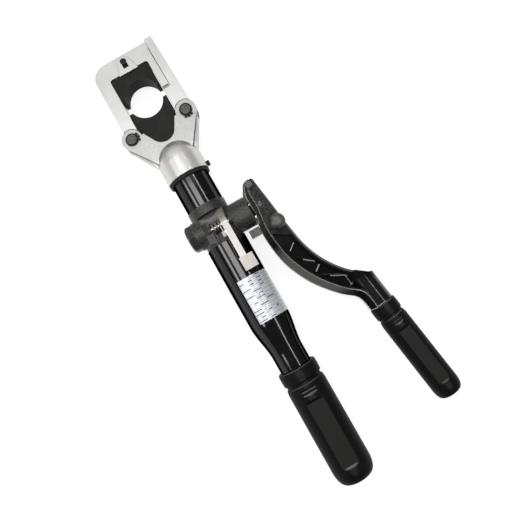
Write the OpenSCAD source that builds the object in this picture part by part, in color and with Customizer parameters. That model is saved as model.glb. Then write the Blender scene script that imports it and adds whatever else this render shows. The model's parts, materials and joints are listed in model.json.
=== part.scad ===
// Hydraulic hand crimping tool: flip-top head, two dies, pumped ram and two handles.
// The origin is the centre of the crimp nest. +X points to the moving handle, +Y runs along the
// tool to its head and +Z is up, with the tool lying on its back. Sizes are in millimetres.

/* [Dies] */
// Radius of both die arcs
nest_r = 18.2; // [15:0.1:19]
// Height of the upper die's lips above the nest centre
upper_lip = 4; // [2:0.5:7]
// Drop of the lower die's lips below the nest centre, ram home
lower_lip = 11; // [9:0.5:13]
// Drop of the lower arc's centre below the nest centre, ram home
lower_arc = 5.3; // [3:0.1:7]
// Width of both dies
die_w = 42.6; // [40:0.2:45]
// Thickness of both dies
die_t = 20; // [17:0.5:21]
// Height of the upper die's back above the nest centre
die_back = 30.4; // [27:0.2:33]
// Drop of the lower die's straight flanks
flank_drop = 28; // [25:0.5:29]
// Drop of the lower die's round nose
nose_drop = 53; // [50:0.5:55]
// Radius of the lower die's nose
nose_r = 12.5; // [11:0.5:14]

/* [Head] */
// Thickness of yoke, latch and fork
head_t = 22; // [21.5:0.5:26]
// Width of the yoke's arm
arm_w = 13.7; // [11:0.1:16]
// Height of the yoke's bridge over the die
bridge_h = 18.1; // [17:0.1:22]
// Radius of the yoke's outer corner
corner_r = 15.8; // [8:0.2:17]
// Width of the yoke's tongue beside the latch
tongue_w = 7; // [6:0.1:9]
// Drop of the tongue's end below the nest centre
tongue_drop = 1.9; // [0:0.1:3]
// Width of the latch bar at its top
latch_w = 8.2; // [7:0.1:11]
// Distance between the two hinge pins
pin_pitch = 62; // [60:0.5:66]
// Drop of the hinge pins below the nest centre
pin_drop = 35; // [33:0.5:38]
// Radius of the hinge pins
pin_r = 5; // [4:0.1:5.5]
// Radius of the fork's ears
ear_r = 10.8; // [9.5:0.1:11.2]
// Thickness of the hinge tangs
tang_t = 10; // [8:0.5:12]
// Radius of the neck
neck_r = 22.6; // [21.5:0.1:25]
// Drop of the neck's dome centre
dome_drop = 76.7; // [75:0.1:79]
// Drop of the neck's lower rim
neck_drop = 94.5; // [90:0.5:100]

/* [Cylinder and ram] */
// Height of the ring under the neck
ring_h = 3.5; // [2:0.5:6]
// Visible length of the cylinder
barrel_l = 32; // [28:0.5:45]
// Radius of the cylinder
barrel_r = 19.6; // [19:0.1:21.5]
// Radius of the cylinder's bore
bore_r = 14.5; // [13.5:0.1:15]
// Radius of the ram
ram_r = 9; // [8:0.1:9.6]
// Height of the piston
piston_h = 10; // [8:0.5:14]

/* [Pump] */
// Length of the pump body along the tool
pump_l = 42; // [40:0.5:50]
// Radius of the pump body
pump_r = 20.2; // [19.6:0.1:23]
// Drop of the plunger's axis below the top of the pump body
plunger_drop = 26.2; // [25:0.1:27]
// Radius of the plunger
plunger_r = 6; // [5:0.1:6.5]
// Drop of the relief boss's axis below the top of the pump body
boss_drop = 22.5; // [20:0.5:24]
// Radius of the relief boss
boss_r = 15; // [13:0.5:17]
// Width across the flats of the relief plug
plug_af = 26; // [22:0.5:28]
// End of the pump hub from the tool's axis
hub_end = 36.5; // [33:0.5:37]
// Fulcrum's distance from the tool's axis
fulcrum_x = 47.7; // [46:0.1:50]
// Distance from the fulcrum to the plunger's axis
throw = 21.9; // [20:0.1:24]

/* [Release lever] */
// Distance of the release pivot in front of the tool's axis
pivot_z = 17; // [16.5:0.1:18]
// Left side of the release lever's bar
bar_x = 5.8; // [5:0.1:7]
// Width of the release lever's bar
bar_w = 6.7; // [5:0.1:7]
// Length of the release lever from pivot to paddle end
release_l = 52.5; // [45:0.5:60]
// Width of the paddle
paddle_w = 13.9; // [10:0.1:16]
// Turns of the release spring
release_turns = 2.5; // [1.5:1:2.5]

/* [Handles] */
// Radius of the reservoir tube
tube_r = 21; // [20.5:0.1:24]
// Length of the tube's straight part
tube_l = 94; // [80:1:120]
// Length of the tube's taper
taper_l = 25.5; // [18:0.5:35]
// Radius of the tube behind the taper
wrist_r = 16.3; // [15.5:0.1:17.5]
// Length of the slim part before the grip
wrist_l = 19.9; // [10:0.1:30]
// Length of the fixed grip
grip_l = 119.5; // [100:0.5:150]
// Radius of the fixed grip
grip_r = 20.2; // [19:0.1:24]
// Thickness of the lever
lever_t = 24; // [22:0.5:28]
// Drop of the lever from its top to its elbow
lever_drop = 168; // [150:1:190]
// Sideways reach of the lever from its top to its elbow
lever_reach = 72; // [60:1:85]
// Length of the moving grip
hand_l = 107; // [95:1:130]
// Radius of the moving grip
hand_r = 13.9; // [13.5:0.1:17]
// Lean of the moving grip, in degrees
hand_lean = 7.7; // [4:0.1:12]

/* [Hidden] */
$fn = 96;
// Clearances: a seated fit, a running fit, a sliding gap and a free gap; and the overrun of cuts
fit = 0.02;
run = 0.05;
slide_gap = 0.4;
gap = 0.3;
over = 1;

// Dies
die_half = die_w / 2;
die_corner = 5;
nose_y = nose_r - nose_drop;
key_stem_half = 2.4;
key_head_half = 4.1;
key_head_h = 3.2;
key_h = 8.3;
key_end_inset = 0.5;

// Yoke and latch
half_t = head_t / 2;
side_x = die_half + slide_gap;
yoke_out = side_x + arm_w;
bridge_y = die_back + run;
yoke_top = die_back + bridge_h;
seam_x = side_x + tongue_w;
pin_x = pin_pitch / 2;
y_pin = -pin_drop;
ear_gap = 0.5;
tang_gap = 0.3;
tang_inset = 1.2;
tang_r = ear_r - tang_inset;
slot_gap = 0.8;
slot_r = ear_r + slot_gap;
pad_half = 10.7;
pad_r = 6.6;
pad_lower = 1.5;
window_r = 3;
pad_stand = 1.2;
pad_z = half_t + pad_stand;
lip_lap = 1.8;
lock_rise = 2.5;
lock_y = die_back + key_h + lock_rise;
lock_r = 3.3;
lock_waist_r = 2;
lock_flat = 2.4;
lock_back = -5;
lock_depth = 5.8;
lock_shoulder = die_t / 2 - lock_depth;
lock_head_h = 2.6;
lock_slot = [1, 1.2];
keyhole_half = 2.8;
keyhole_rise = 3.2;
keyhole_y = die_back + keyhole_rise;
latch_x = seam_x + gap;
latch_flare = 2.6;
latch_skew = 0.8;
latch_rise = 3;
shoulder_step = 3.2;
shoulder_drop = tongue_drop + shoulder_step;
hook_reach = 4.4;
hook_h = 6.6;
hook_rise = 1.7;
hook_cover = 3.9;
hook_y = yoke_top - hook_h - hook_cover;
hook_gap = 0.45;
hook_top_gap = 1.4;

// Hinge pins and their clips
clip_t = 1;
clip_r = 6.6;
clip_groove = 0.8;
clip_mouth = 5;
pin_lead = 1;
pin_end = half_t + clip_t + pin_lead;

// Fork and neck
window_gap = 0.6;
y_dome = -dome_drop;
y_neck = -neck_drop;
neck_half = sqrt(neck_r * neck_r - half_t * half_t);
ledge_w = 4.5;
ledge_d = 3.2;
spigot_wall = 3;
spigot_r = bore_r + spigot_wall;
spigot_rise = 2.7;
spigot_y = y_dome + spigot_rise;
screw_rise = 3.4;
screw_y = y_neck + screw_rise;
screw_r = 2.5;
screw_head_r = 2.8;
screw_head_h = 3.2;
screw_tip_r = 1.6;
groove_d = 1.5;
swivel_half = 90;
swivel_spare = 10;

// Cylinder and ram
y_ring = y_neck - ring_h;
ring_step = 0.6;
ring_r = neck_r - ring_step;
y_barrel = y_ring - barrel_l;
foot_l = 6;
foot_r = 17;
y_foot = y_barrel - foot_l;
oil_gap = 1;
y_piston = y_foot + oil_gap;
y_crown = y_piston + piston_h;
bush_l = 10;
y_bush = spigot_y - bush_l;
seal_h = 3;
seal_d = 2.4;
y_piston_seal = y_piston + (piston_h - seal_h) / 2;
ram_wire = 1.7;
ram_turns = 7;
stud_r = 3;
stud_l = 14;

// Pump body
y_pump = y_barrel - pump_l;
y_plunger = y_barrel - plunger_drop;
y_boss = y_barrel - boss_drop;
boss_stand = 2.9;
boss_x = -pump_r - boss_stand;
hub_r = 13;
hub_shares = [0.145, -0.07];
y_hub = [for (s = hub_shares) y_plunger + s * plunger_drop];
fulcrum_y = y_plunger + throw;
lug_t = 2 * plunger_r;
lug_r = 6.3;
lug_root_shares = [0.9, 0.3];
lug_foot = 1.2;
web_l = 3;
web_half = 5.5;
chamber_x = -6.5;
tip_x = 1;
port_x = -3;
port_r = 1.6;
gland_r = 9;
gland_l = 6.5;
gland_lip = 1.5;
pump_seal_l = 2;
spigot_l = 8;
tube_wall = 3;
pocket_z = 10.6;
pocket_top = 9;
shelf_x = -13;
shelf_l = 7.5;
cheek_w = 3.7;
cheek_r = 4;
pad_w = 7;
pad_h = 9;
pad_drop = 4;
pad_rise = 2.5;

// Valves
ball_r = 2.6;
ball_gap = 0.4;
seat_l = 4;
lift = 1.2;
ball_seat = sqrt(ball_r * ball_r - port_r * port_r) + fit;
delivery_rise = 8.4;
delivery_seat = y_plunger + delivery_rise;
delivery_plug_l = 2.5;
y_suction = y_pump - spigot_l;
valve_wire = 0.45;
valve_turns = 3;
relief_bore = 5;
relief_seat = -12;
relief_port = 1.8;
poppet_r = 4;
poppet_l = 3;
poppet_nose = 2.2;
plug_h = 8.2;
plug_x = boss_x - plug_h;
plug_wall = 3.2;
plug_bevel = 3.5;
relief_wire = 0.8;
relief_turns = 6;

// Release lever
pivot_drop = 26;
y_pivot = y_barrel - pivot_drop;
pivot_r = 2;
bar_gap = 0.8;
cheek_right = bar_x + bar_w + bar_gap;
cheek_left = -5.8;
release_arm = 10.5;
y_release = y_pivot - release_arm;
release_x = bar_x + bar_w / 2;
release_pin_r = 2;
release_ball_z = 0.5;
release_bore = 3.4;
release_seat = release_ball_z + sqrt(ball_r * ball_r - pow(release_pin_r + run, 2)) + fit;
release_plug_l = 5;
release_plug_z = -17;
bar_t = 3.2;
bar_lift = 2.5;
bar_top = 10;
bar_slope = 0.26;
hub_cover = 4.2;
paddle_l = 13.9;
paddle_t = 2.5;
paddle_inset = 1.4;
paddle_x = bar_x - paddle_inset;
nib_w = 3.8;
nib_l = 5.5;
nib_t = 1.6;
coil_r = 4.8;
coil_wire = 0.9;
coil_inset = 1.1;
coil_x = cheek_left + coil_inset;
coil_pitch = 3.4;
leg_l = 10;

// Reservoir and grips
y_tube = y_pump - tube_l;
y_taper = y_tube - taper_l;
y_grip = y_taper - wrist_l;
y_end = y_grip - grip_l;
inner_r = tube_r - tube_wall;
stem_step = 1.3;
stem_r = wrist_r - stem_step;
stem_wall = 2;
stem_cover = 8.5;
stem_end = y_end + stem_cover;
cap_l = 4;
collar_l = 13;
groove_l = 4.1;
groove_in = 1.9;
grip_round = 14.5;
grip_tip = 5.7;
bladder_gap = 1.5;
bladder_t = 1.6;
bladder_top = y_suction - fit;
filter_r = 8;
filter_l = 10;
filter_t = 1;
label_t = 0.2;
label_l = 46;
label_drop = 41;
label_y = y_pump - label_drop;
label_from = -26;
label_sweep = 106;
panel_shares = [0.25, 0.87];
panel_d = 2.1;

// Lever
lever_half = lever_t / 2;
lever_corner = [3.7, 4.9];
lever_x = fulcrum_x - lever_corner.x;
lever_y = fulcrum_y + lever_corner.y;
lever_band = 5;
lever_bevels = [[6, 3], [-2.4, -1.2]];
lever_rims = [[2, 1], [-2, -1]];
lever_web = 3.5;
rib_w = 1.8;
rib_z = 8.5;
clevis_gap = 0.4;
clevis_drop = 37.5;
left_shares = [[0, 0], [-0.076, 0.075], [-0.075, 0.182], [-0.11, 0.33], [-0.067, 0.498],
    [0.028, 0.617], [0.18, 0.733], [0.41, 0.849], [0.597, 0.92], [0.647, 1.018]];
right_shares = [[0.153, 0], [0.178, 0.081], [0.214, 0.2], [0.261, 0.361], [0.324, 0.498],
    [0.44, 0.617], [0.633, 0.732], [0.861, 0.81], [0.951, 0.837], [1, 1]];
lever_steps = 4;
lever_left = curve([for (s = left_shares) lever_point(s)], lever_steps);
lever_right = curve([for (s = right_shares) lever_point(s)], lever_steps);
recess_from = 13;
recess_to = 31;
rib_step = 3;
fulcrum_r = 3;
plunger_pin_r = 2.5;
pin_stand = 0.8;
tongue_t = 9;
tongue_x = 42.5;
tongue_l = 10.5;
tongue_up = 9.3;
tongue_down = 5.5;
slot_play = 0.45;
slot_up = 4;
close_angle = 4.5;
bolt_shift = [6.2, -45.7];
bolt_r = 4;
bolt_head_r = 8.3;
bolt_head_h = 9;
bolt_dome = 5.5;
nut_r = 7;
nut_h = 6;
stop_gap = 4;
stop_x = tube_r + stop_gap;
stop_stem = 10;
stop_stem_r = 2.5;
stop_drop = 43.2;
stop_y = fulcrum_y - stop_drop;
stop_h = 7.4;
stop_t = 12;
stop_reach = lookup(stop_y - stop_h / 2, [for (p = lever_left) [p.y, p.x]]) - stop_x - run;
hand_share = 0.829;
hand_x = lever_x + lever_reach * hand_share;
hand_sink = 1.9;
hand_y = lever_y - lever_drop - hand_sink;
socket_r = 12.4;
socket_cut = 6;
socket_l = 42;
hand_core_r = 8.5;
hand_core_l = 98;
hand_collar_l = 12.7;
hand_groove_l = 3.2;
hand_groove_in = 1.4;
hand_round = 9;
hand_tip = 4;
hand_panel_d = 1.5;

// Plain shapes along the three axes
module block(lo, hi) {
    translate(lo) cube(hi - lo);
}

module rod_x(x0, x1, y, z, r) {
    translate([x0, y, z]) rotate([0, 90, 0]) cylinder(h = x1 - x0, r = r);
}

module rod_y(y0, y1, x, z, r) {
    translate([x, y0, z]) rotate([-90, 0, 0]) cylinder(h = y1 - y0, r = r);
}

module rod_z(z0, z1, x, y, r) {
    translate([x, y, z0]) cylinder(h = z1 - z0, r = r);
}

// A solid turned about the tool's axis, from [radius, y] points
module turned(points) {
    rotate([-90, 0, 0]) rotate_extrude() polygon(points);
}

// A flat ring about the tool's axis
module ring(y0, y1, inner, outer) {
    turned([[inner, y0], [outer, y0], [outer, y1], [inner, y1]]);
}

// Where a line from p touches the circle at c on the chosen side, a hair inside so that they cross
function touch(p, c, r, side) =
    let (d = norm(p - c), e = r - fit, a = atan2(p.y - c.y, p.x - c.x) + side * acos(e / d))
    [c.x + e * cos(a), c.y + e * sin(a)];

// Plate with straight flanks that taper to a round nose
module nose_plate(half, top, r, t) {
    p = touch([half, -flank_drop], [0, nose_y], r, -1);
    translate([0, 0, -t / 2]) linear_extrude(t)
        polygon([[-half, top], [half, top], [half, -flank_drop], p, [-p.x, p.y], [-half, -flank_drop]]);
    rod_z(-t / 2, t / 2, 0, nose_y, r);
}

// One closed tube of six sides along points; ref lies across the path
tube_sides = 6;
function unit(v) = v / norm(v);
function tangent(p, i) = unit(p[min(i + 1, len(p) - 1)] - p[max(i - 1, 0)]);
function tube_ring(p, i, r, ref) =
    let (t = tangent(p, i), u = unit(ref - (ref * t) * t), v = cross(t, u))
    [for (k = [0:tube_sides - 1]) let (a = k * 360 / tube_sides) p[i] + r * (cos(a) * u + sin(a) * v)];

module tube(p, r, ref) {
    n = len(p);
    s = tube_sides;
    points = [for (i = [0:n - 1]) each tube_ring(p, i, r, ref)];
    walls = [for (i = [0:n - 2], k = [0:s - 1])
        let (a = i * s + k, b = i * s + (k + 1) % s) each [[a, a + s, b], [b, a + s, b + s]]];
    first = [for (k = [1:s - 2]) [0, k, k + 1]];
    last = [for (k = [1:s - 2]) let (o = (n - 1) * s) [o, o + k + 1, o + k]];
    polyhedron(points, concat(first, walls, last));
}

// Points of a coil about Z, eight to a turn
rings_per_turn = 8;
function coil(r, turns, h, start = 0) =
    [for (i = [0:turns * rings_per_turn])
        let (s = i / (turns * rings_per_turn), a = start + 360 * turns * s)
        [r * cos(a), r * sin(a), h * s]];

// Least gap between different turns of a tube
function least_gap(p, r) =
    min([for (i = [0:len(p) - 1], j = [i + rings_per_turn - 2:1:len(p) - 1]) norm(p[i] - p[j])]) - 2 * r;

// Compression spring about Z between heights 0 and h
module spring(r, wire, turns, h) {
    tube([for (q = coil(r, turns, h - 2 * wire)) q + [0, 0, wire]], wire, [0, 0, 1]);
}

// Smooth curve through control points
function bend(a, b, c, d, s) =
    (2 * b + (c - a) * s + (2 * a - 5 * b + 4 * c - d) * s * s + (3 * b - a - 3 * c + d) * s * s * s) / 2;
function curve(p, steps) = [for (i = [0:len(p) - 2], k = [0:steps - (i < len(p) - 2 ? 1 : 0)])
    bend(p[max(i - 1, 0)], p[i], p[i + 1], p[min(i + 2, len(p) - 1)], k / steps)];

// Crimp head
module head_plate() {
    flank_plate(neck_half, half_t - ledge_d);
    flank_plate(neck_half - ledge_w, half_t);
    for (x = [-pin_x, pin_x]) rod_z(-half_t, half_t, x, y_pin, ear_r);
}

// Plate from both ears down to the given half width at the neck
module flank_plate(half, z) {
    p = touch([half, y_dome], [pin_x, y_pin], ear_r, 1);
    translate([0, 0, -z]) linear_extrude(2 * z)
        polygon([[-pin_x, y_pin], [pin_x, y_pin], p, [half, y_dome], [-half, y_dome], [-p.x, p.y]]);
}

// Half section of the round neck and its dome
module neck_section() {
    translate([0, y_neck]) square([neck_r, neck_drop - dome_drop]);
    translate([0, y_dome]) intersection() {
        circle(neck_r);
        square(neck_r);
    }
}

module head_fork() {
    color("lightgray") difference() {
        union() {
            head_plate();
            rotate([-90, 0, 0]) rotate_extrude() neck_section();
        }
        nose_plate(die_half + window_gap, 0, nose_r + window_gap, head_t + 2 * over);
        for (x = [-pin_x, pin_x]) {
            rod_z(-tang_t / 2 - tang_gap, tang_t / 2 + tang_gap, x, y_pin, slot_r);
            rod_z(-half_t - over, half_t + over, x, y_pin, pin_r + fit);
        }
        rod_y(spigot_y, nose_y, 0, 0, ram_r + run);
        rod_y(y_neck - over, spigot_y + gap, 0, 0, spigot_r + run);
        rod_x(spigot_r, neck_r + over, screw_y, 0, screw_r + fit);
    }
}

module yoke() {
    x = -pin_x;
    color("gainsboro") {
        difference() {
            union() {
                block([-yoke_out, y_pin, -half_t], [-side_x, yoke_top, half_t]);
                block([-yoke_out, bridge_y, -half_t], [seam_x, yoke_top, half_t]);
                block([side_x, -tongue_drop, -half_t], [seam_x, yoke_top, half_t]);
                for (s = [0, 1]) mirror([s, 0, 0]) window_corner();
                yoke_pad();
            }
            yoke_corner();
            rod_z(-half_t - over, half_t + over, x, y_pin, ear_r + ear_gap);
            yoke_keyway();
            block([seam_x - hook_reach - gap, hook_y - hook_gap, -tang_t / 2 - gap],
                [seam_x + over, hook_y + hook_h + hook_top_gap, tang_t / 2 + gap]);
        }
        tang(x, -yoke_out, -side_x);
    }
}

// Metal in an upper corner of the yoke's window, rounded on its inside
module window_corner() {
    c = [side_x - window_r + fit, bridge_y - window_r + fit];
    difference() {
        block([c.x, c.y, -half_t], [side_x + over, bridge_y + over, half_t]);
        rod_z(-half_t - over, half_t + over, c.x, c.y, window_r);
    }
}

// Raised pad round the lock pin, flared to a straight lip over the die
module yoke_pad() {
    back = die_t / 2 + gap;
    foot = [pad_half, die_back - lip_lap];
    c = [0, lock_y - pad_lower];
    p = touch(foot, c, pad_r, 1);
    translate([0, 0, back]) linear_extrude(pad_z - back)
        polygon([[-foot.x, foot.y], foot, p, [-p.x, p.y]]);
    rod_z(back, pad_z, c.x, c.y, pad_r);
}

// Waste outside the yoke's rounded corner
module yoke_corner() {
    c = [-yoke_out + corner_r, yoke_top - corner_r];
    difference() {
        block([-yoke_out - over, c.y, -half_t - over], [c.x, yoke_top + over, half_t + over]);
        rod_z(-half_t - 2 * over, half_t + 2 * over, c.x, c.y, corner_r);
    }
}

// T-slot for the die's key, bore of the lock pin and the keyhole in the pad
module yoke_keyway() {
    back = -half_t - over;
    front = die_t / 2;
    head_y = die_back + key_h - key_head_h - gap;
    stem = key_stem_half + gap;
    head = key_head_half + gap;
    block([-stem, die_back, back], [stem, head_y + over, front]);
    block([-head, head_y, back], [head, die_back + key_h + gap, front]);
    rod_z(lock_back, pad_z + over, 0, lock_y, lock_r + run);
    block([-keyhole_half, keyhole_y, front - over], [keyhole_half, lock_y, pad_z + over]);
}

// Hinge tang about a pin, running up into the bar between x0 and x1
module tang(x, x0, x1) {
    difference() {
        union() {
            rod_z(-tang_t / 2, tang_t / 2, x, y_pin, tang_r);
            block([x0, y_pin, -tang_t / 2], [x1, y_pin + slot_r + over, tang_t / 2]);
        }
        rod_z(-half_t, half_t, x, y_pin, pin_r + run);
    }
}

module latch_bar() {
    top = yoke_top + latch_rise;
    out = latch_x + latch_w;
    foot = side_x + gap;
    color("gainsboro") {
        difference() {
            translate([0, 0, -half_t]) linear_extrude(head_t)
                polygon([[foot, y_pin], [out + latch_flare, y_pin], [out, top], [latch_x, top],
                    [latch_x + latch_skew, -shoulder_drop], [foot, -shoulder_drop]]);
            rod_z(-half_t - over, half_t + over, pin_x, y_pin, ear_r + ear_gap);
        }
        tang(pin_x, foot, out);
        translate([0, 0, -tang_t / 2]) linear_extrude(tang_t)
            polygon([[latch_x + latch_skew, hook_y], [latch_x, hook_y],
                [seam_x - hook_reach, hook_y + hook_rise], [seam_x - hook_reach, hook_y + hook_h],
                [latch_x + latch_skew, hook_y + hook_h]]);
    }
}

module hinge_pin(x) {
    color("#222222") difference() {
        rod_z(-pin_end, pin_end, x, y_pin, pin_r);
        for (s = [0, 1]) mirror([0, 0, s]) clip_ring(x, pin_r - clip_groove, pin_r + over, 0);
    }
}

// Ring where a clip sits at the front of a hinge pin
module clip_ring(x, inner, outer, slack) {
    translate([x, y_pin, half_t + fit + slack]) difference() {
        cylinder(h = clip_t - 2 * slack, r = outer);
        translate([0, 0, -over]) cylinder(h = clip_t + 2 * over, r = inner);
    }
}

module yoke_pin() {
    hinge_pin(-pin_x);
}

module latch_pin() {
    hinge_pin(pin_x);
}

module pin_clips() {
    color("#2c2c2c") for (x = [-pin_x, pin_x], s = [0, 1]) mirror([0, 0, s]) difference() {
        clip_ring(x, pin_r - clip_groove + fit, clip_r, fit);
        block([x, y_pin - clip_mouth / 2, 0], [x + clip_r + over, y_pin + clip_mouth / 2, pin_end]);
    }
}

module upper_die() {
    front = die_t / 2;
    color("#2a2a2a") difference() {
        union() {
            difference() {
                block([-die_half, upper_lip, -front], [die_half, die_back, front]);
                for (s = [0, 1]) mirror([s, 0, 0]) die_corner_cut();
            }
            block([-key_stem_half, die_back - over, -front],
                [key_stem_half, die_back + key_h, front - key_end_inset]);
            block([-key_head_half, die_back + key_h - key_head_h, -front],
                [key_head_half, die_back + key_h, front - key_end_inset]);
        }
        rod_z(-front - over, front + over, 0, 0, nest_r);
        rod_z(-front - over, lock_shoulder + gap, 0, lock_y, lock_r + run);
    }
}

// Waste outside a rounded die corner
module die_corner_cut() {
    c = [die_half - die_corner, die_back - die_corner];
    difference() {
        block([c.x, c.y, -die_t], [die_half + over, die_back + over, die_t]);
        rod_z(-die_t - over, die_t + over, c.x, c.y, die_corner);
    }
}

module lower_die() {
    front = die_t / 2;
    color("#2a2a2a") difference() {
        nose_plate(die_half, -lower_lip, nose_r, die_t);
        rod_z(-front - over, front + over, 0, -lower_arc, nest_r);
        rod_y(-nose_drop - over, -nose_drop + stud_l / 2, 0, 0, stud_r + fit);
    }
}

// Lock pin: slotted head, waist over the key's front wall, flatted collar in the key's groove
module die_lock_pin() {
    waist_end = pad_z - lock_head_h;
    color("#303030") difference() {
        union() {
            rod_z(waist_end, pad_z, 0, lock_y, lock_r);
            rod_z(lock_back + gap, pad_z, 0, lock_y, lock_waist_r);
            difference() {
                rod_z(lock_back + gap, lock_shoulder, 0, lock_y, lock_r);
                block([-lock_r - over, lock_y + lock_flat, lock_back],
                    [lock_r + over, lock_y + lock_r + over, pad_z]);
            }
        }
        block([-lock_r - over, lock_y - lock_slot.x / 2, pad_z - lock_slot.y],
            [lock_r + over, lock_y + lock_slot.x / 2, pad_z + over]);
    }
}

module swivel_ring() {
    color("#1c1c1c") ring(y_ring, y_neck - run, spigot_r + fit, ring_r);
}

module neck_screw() {
    tip = spigot_r - groove_d + gap;
    color("#262626") {
        rod_x(spigot_r + run, neck_r, screw_y, 0, screw_r);
        rod_x(neck_r, neck_r + screw_head_h, screw_y, 0, screw_head_r);
        rod_x(tip, spigot_r + over, screw_y, 0, screw_tip_r);
    }
}

// Cylinder and ram
module cylinder_body() {
    difference() {
        turned([[bore_r, y_foot], [foot_r, y_foot], [foot_r, y_barrel], [barrel_r, y_barrel],
            [barrel_r, y_ring], [spigot_r, y_ring], [spigot_r, spigot_y], [bore_r, spigot_y]]);
        rotate([0, -swivel_half - swivel_spare, 0]) rotate([-90, 0, 0])
            rotate_extrude(angle = 2 * (swivel_half + swivel_spare)) swivel_groove();
    }
}

// Section of the groove that the neck screw's tip follows
module swivel_groove() {
    wide = screw_tip_r + gap;
    polygon([[spigot_r - groove_d, screw_y - wide], [spigot_r + over, screw_y - wide],
        [spigot_r + over, screw_y + wide], [spigot_r - groove_d, screw_y + wide]]);
}

module cylinder_part() {
    color("#141414") cylinder_body();
}

module ram() {
    color("silver") difference() {
        union() {
            rod_y(y_piston, nose_y, 0, 0, ram_r);
            rod_y(y_piston, y_crown, 0, 0, bore_r - run);
        }
        rod_z(-ram_r - over, ram_r + over, 0, nose_y, nose_r + fit);
        ring(y_piston_seal, y_piston_seal + seal_h, bore_r - seal_d, bore_r + over);
        rod_y(-nose_drop - stud_l / 2 - gap, nose_y, 0, 0, stud_r + fit);
    }
}

module piston_seal() {
    y = y_piston_seal;
    color("#181818") ring(y + fit, y + seal_h - fit, bore_r - seal_d + fit, bore_r - fit);
}

module ram_spring() {
    h = y_bush - y_crown - 2 * gap;
    color("#8a8f94") translate([0, y_crown + gap, 0]) rotate([-90, 0, 0])
        spring((ram_r + bore_r) / 2, ram_wire, ram_turns, h);
}

module guide_bush() {
    color("#a9824a") ring(y_bush, spigot_y - fit, ram_r + run, bore_r - fit);
}

module cylinder_seal() {
    color("#181818") ring(y_foot - seal_d / 2 + fit, y_foot - fit, bore_r + fit, foot_r - fit);
}

module die_stud() {
    color("#777777") rod_y(-nose_drop - stud_l / 2, -nose_drop + stud_l / 2 - gap, 0, 0, stud_r);
}

// Pump body
module pump_body() {
    color("#3a3a3a") difference() {
        union() {
            rod_y(y_pump, y_barrel, 0, 0, pump_r);
            rod_y(y_suction, y_pump, 0, 0, inner_r - fit);
            rod_x(boss_x, 0, y_boss, 0, boss_r);
            pump_hub(0);
            fulcrum_lug();
            hub_web();
            pivot_cheeks();
        }
        block([cheek_left, y_pump, pocket_z], [cheek_right, y_barrel - pocket_top, pump_r + over]);
        block([shelf_x, y_barrel - pocket_top - shelf_l, pocket_z],
            [cheek_left + over, y_barrel - pocket_top, pump_r + over]);
        pump_bores();
        valve_bores();
    }
}

module pump_hub(slack) {
    for (y = y_hub) rod_x(0, hub_end + slack, y, 0, hub_r + slack);
    block([0, y_hub[1], -hub_r - slack], [hub_end + slack, y_hub[0], hub_r + slack]);
}

// Room that the lever's cheeks leave for the hub and for the gland's lip
module hub_room() {
    pump_hub(gap);
    rod_x(hub_end, hub_end + gland_lip + gap, y_plunger, 0, gland_r + gap);
}

module fulcrum_lug() {
    root = [hub_end * lug_root_shares.x, y_hub[0] + hub_r * lug_root_shares.y];
    foot_x = hub_end + lug_foot;
    translate([0, 0, -lug_t / 2]) linear_extrude(lug_t)
        polygon([[root.x, root.y], touch([root.x, root.y], [fulcrum_x, fulcrum_y], lug_r, -1),
            touch([foot_x, root.y], [fulcrum_x, fulcrum_y], lug_r, 1), [foot_x, root.y]]);
    rod_z(-lug_t / 2, lug_t / 2, fulcrum_x, fulcrum_y, lug_r);
}

// Short web on the hub's end below the gland, between the lever's cheeks
module hub_web() {
    block([hub_end - over, y_hub[1] - hub_r + gap, -web_half],
        [hub_end + web_l, y_plunger - gland_r - gap, web_half]);
}

// Cheeks that carry the release pivot, and the spring's block
module pivot_cheeks() {
    for (x = [cheek_left - cheek_w, cheek_right]) {
        rod_x(x, x + cheek_w, y_pivot, pivot_z, cheek_r);
        block([x, y_pivot - cheek_r, pocket_z - cheek_r], [x + cheek_w, y_pivot + cheek_r, pivot_z]);
    }
    block([cheek_left - pad_w, y_pivot - pad_drop - pad_h, pocket_z - cheek_r],
        [cheek_left, y_pivot - pad_drop, pivot_z + pad_rise]);
}

module pump_bores() {
    rod_y(y_foot, y_barrel + over, 0, 0, foot_r + fit);
    ring(y_foot - seal_d / 2, y_foot + over, bore_r, foot_r);
    rod_x(chamber_x, hub_end + over, y_plunger, 0, plunger_r + run);
    rod_x(hub_end - gland_l - pump_seal_l, hub_end + gland_lip + over, y_plunger, 0, gland_r + fit);
    rod_z(-lug_t, lug_t, fulcrum_x, fulcrum_y, fulcrum_r + fit);
    rod_x(cheek_left - cheek_w - over, cheek_right + cheek_w + over, y_pivot, pivot_z, pivot_r + fit);
}

module valve_bores() {
    valve_r = ball_r + ball_gap;
    rod_y(y_suction - over, y_foot + over, port_x, 0, port_r);
    rod_y(delivery_seat, y_foot + over, port_x, 0, valve_r);
    rod_y(y_suction - over, y_suction + seat_l + 2 * ball_r + lift, port_x, 0, valve_r);
    rod_x(boss_x - over, relief_seat, y_boss, 0, relief_bore + fit);
    rod_x(relief_seat - over, chamber_x + over, y_boss, 0, relief_port);
    rod_z(-pump_r - over, release_seat, release_x, y_release, release_bore);
    rod_z(0, pump_r, release_x, y_release, release_pin_r + run);
}

// Hex plug that holds the relief spring
module relief_plug() {
    hex_r = plug_af / 2 / cos(30);
    color("#202020") difference() {
        union() {
            translate([plug_x, y_boss, 0]) rotate([0, 90, 0]) intersection() {
                cylinder(h = plug_h, r = hex_r, $fn = 6);
                cylinder(h = plug_h, r1 = hex_r - plug_bevel, r2 = hex_r + plug_h);
            }
            rod_x(boss_x - over, relief_seat - 2 * poppet_l, y_boss, 0, relief_bore);
        }
        rod_x(plug_x + plug_wall, 0, y_boss, 0, poppet_r + run);
    }
}

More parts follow.
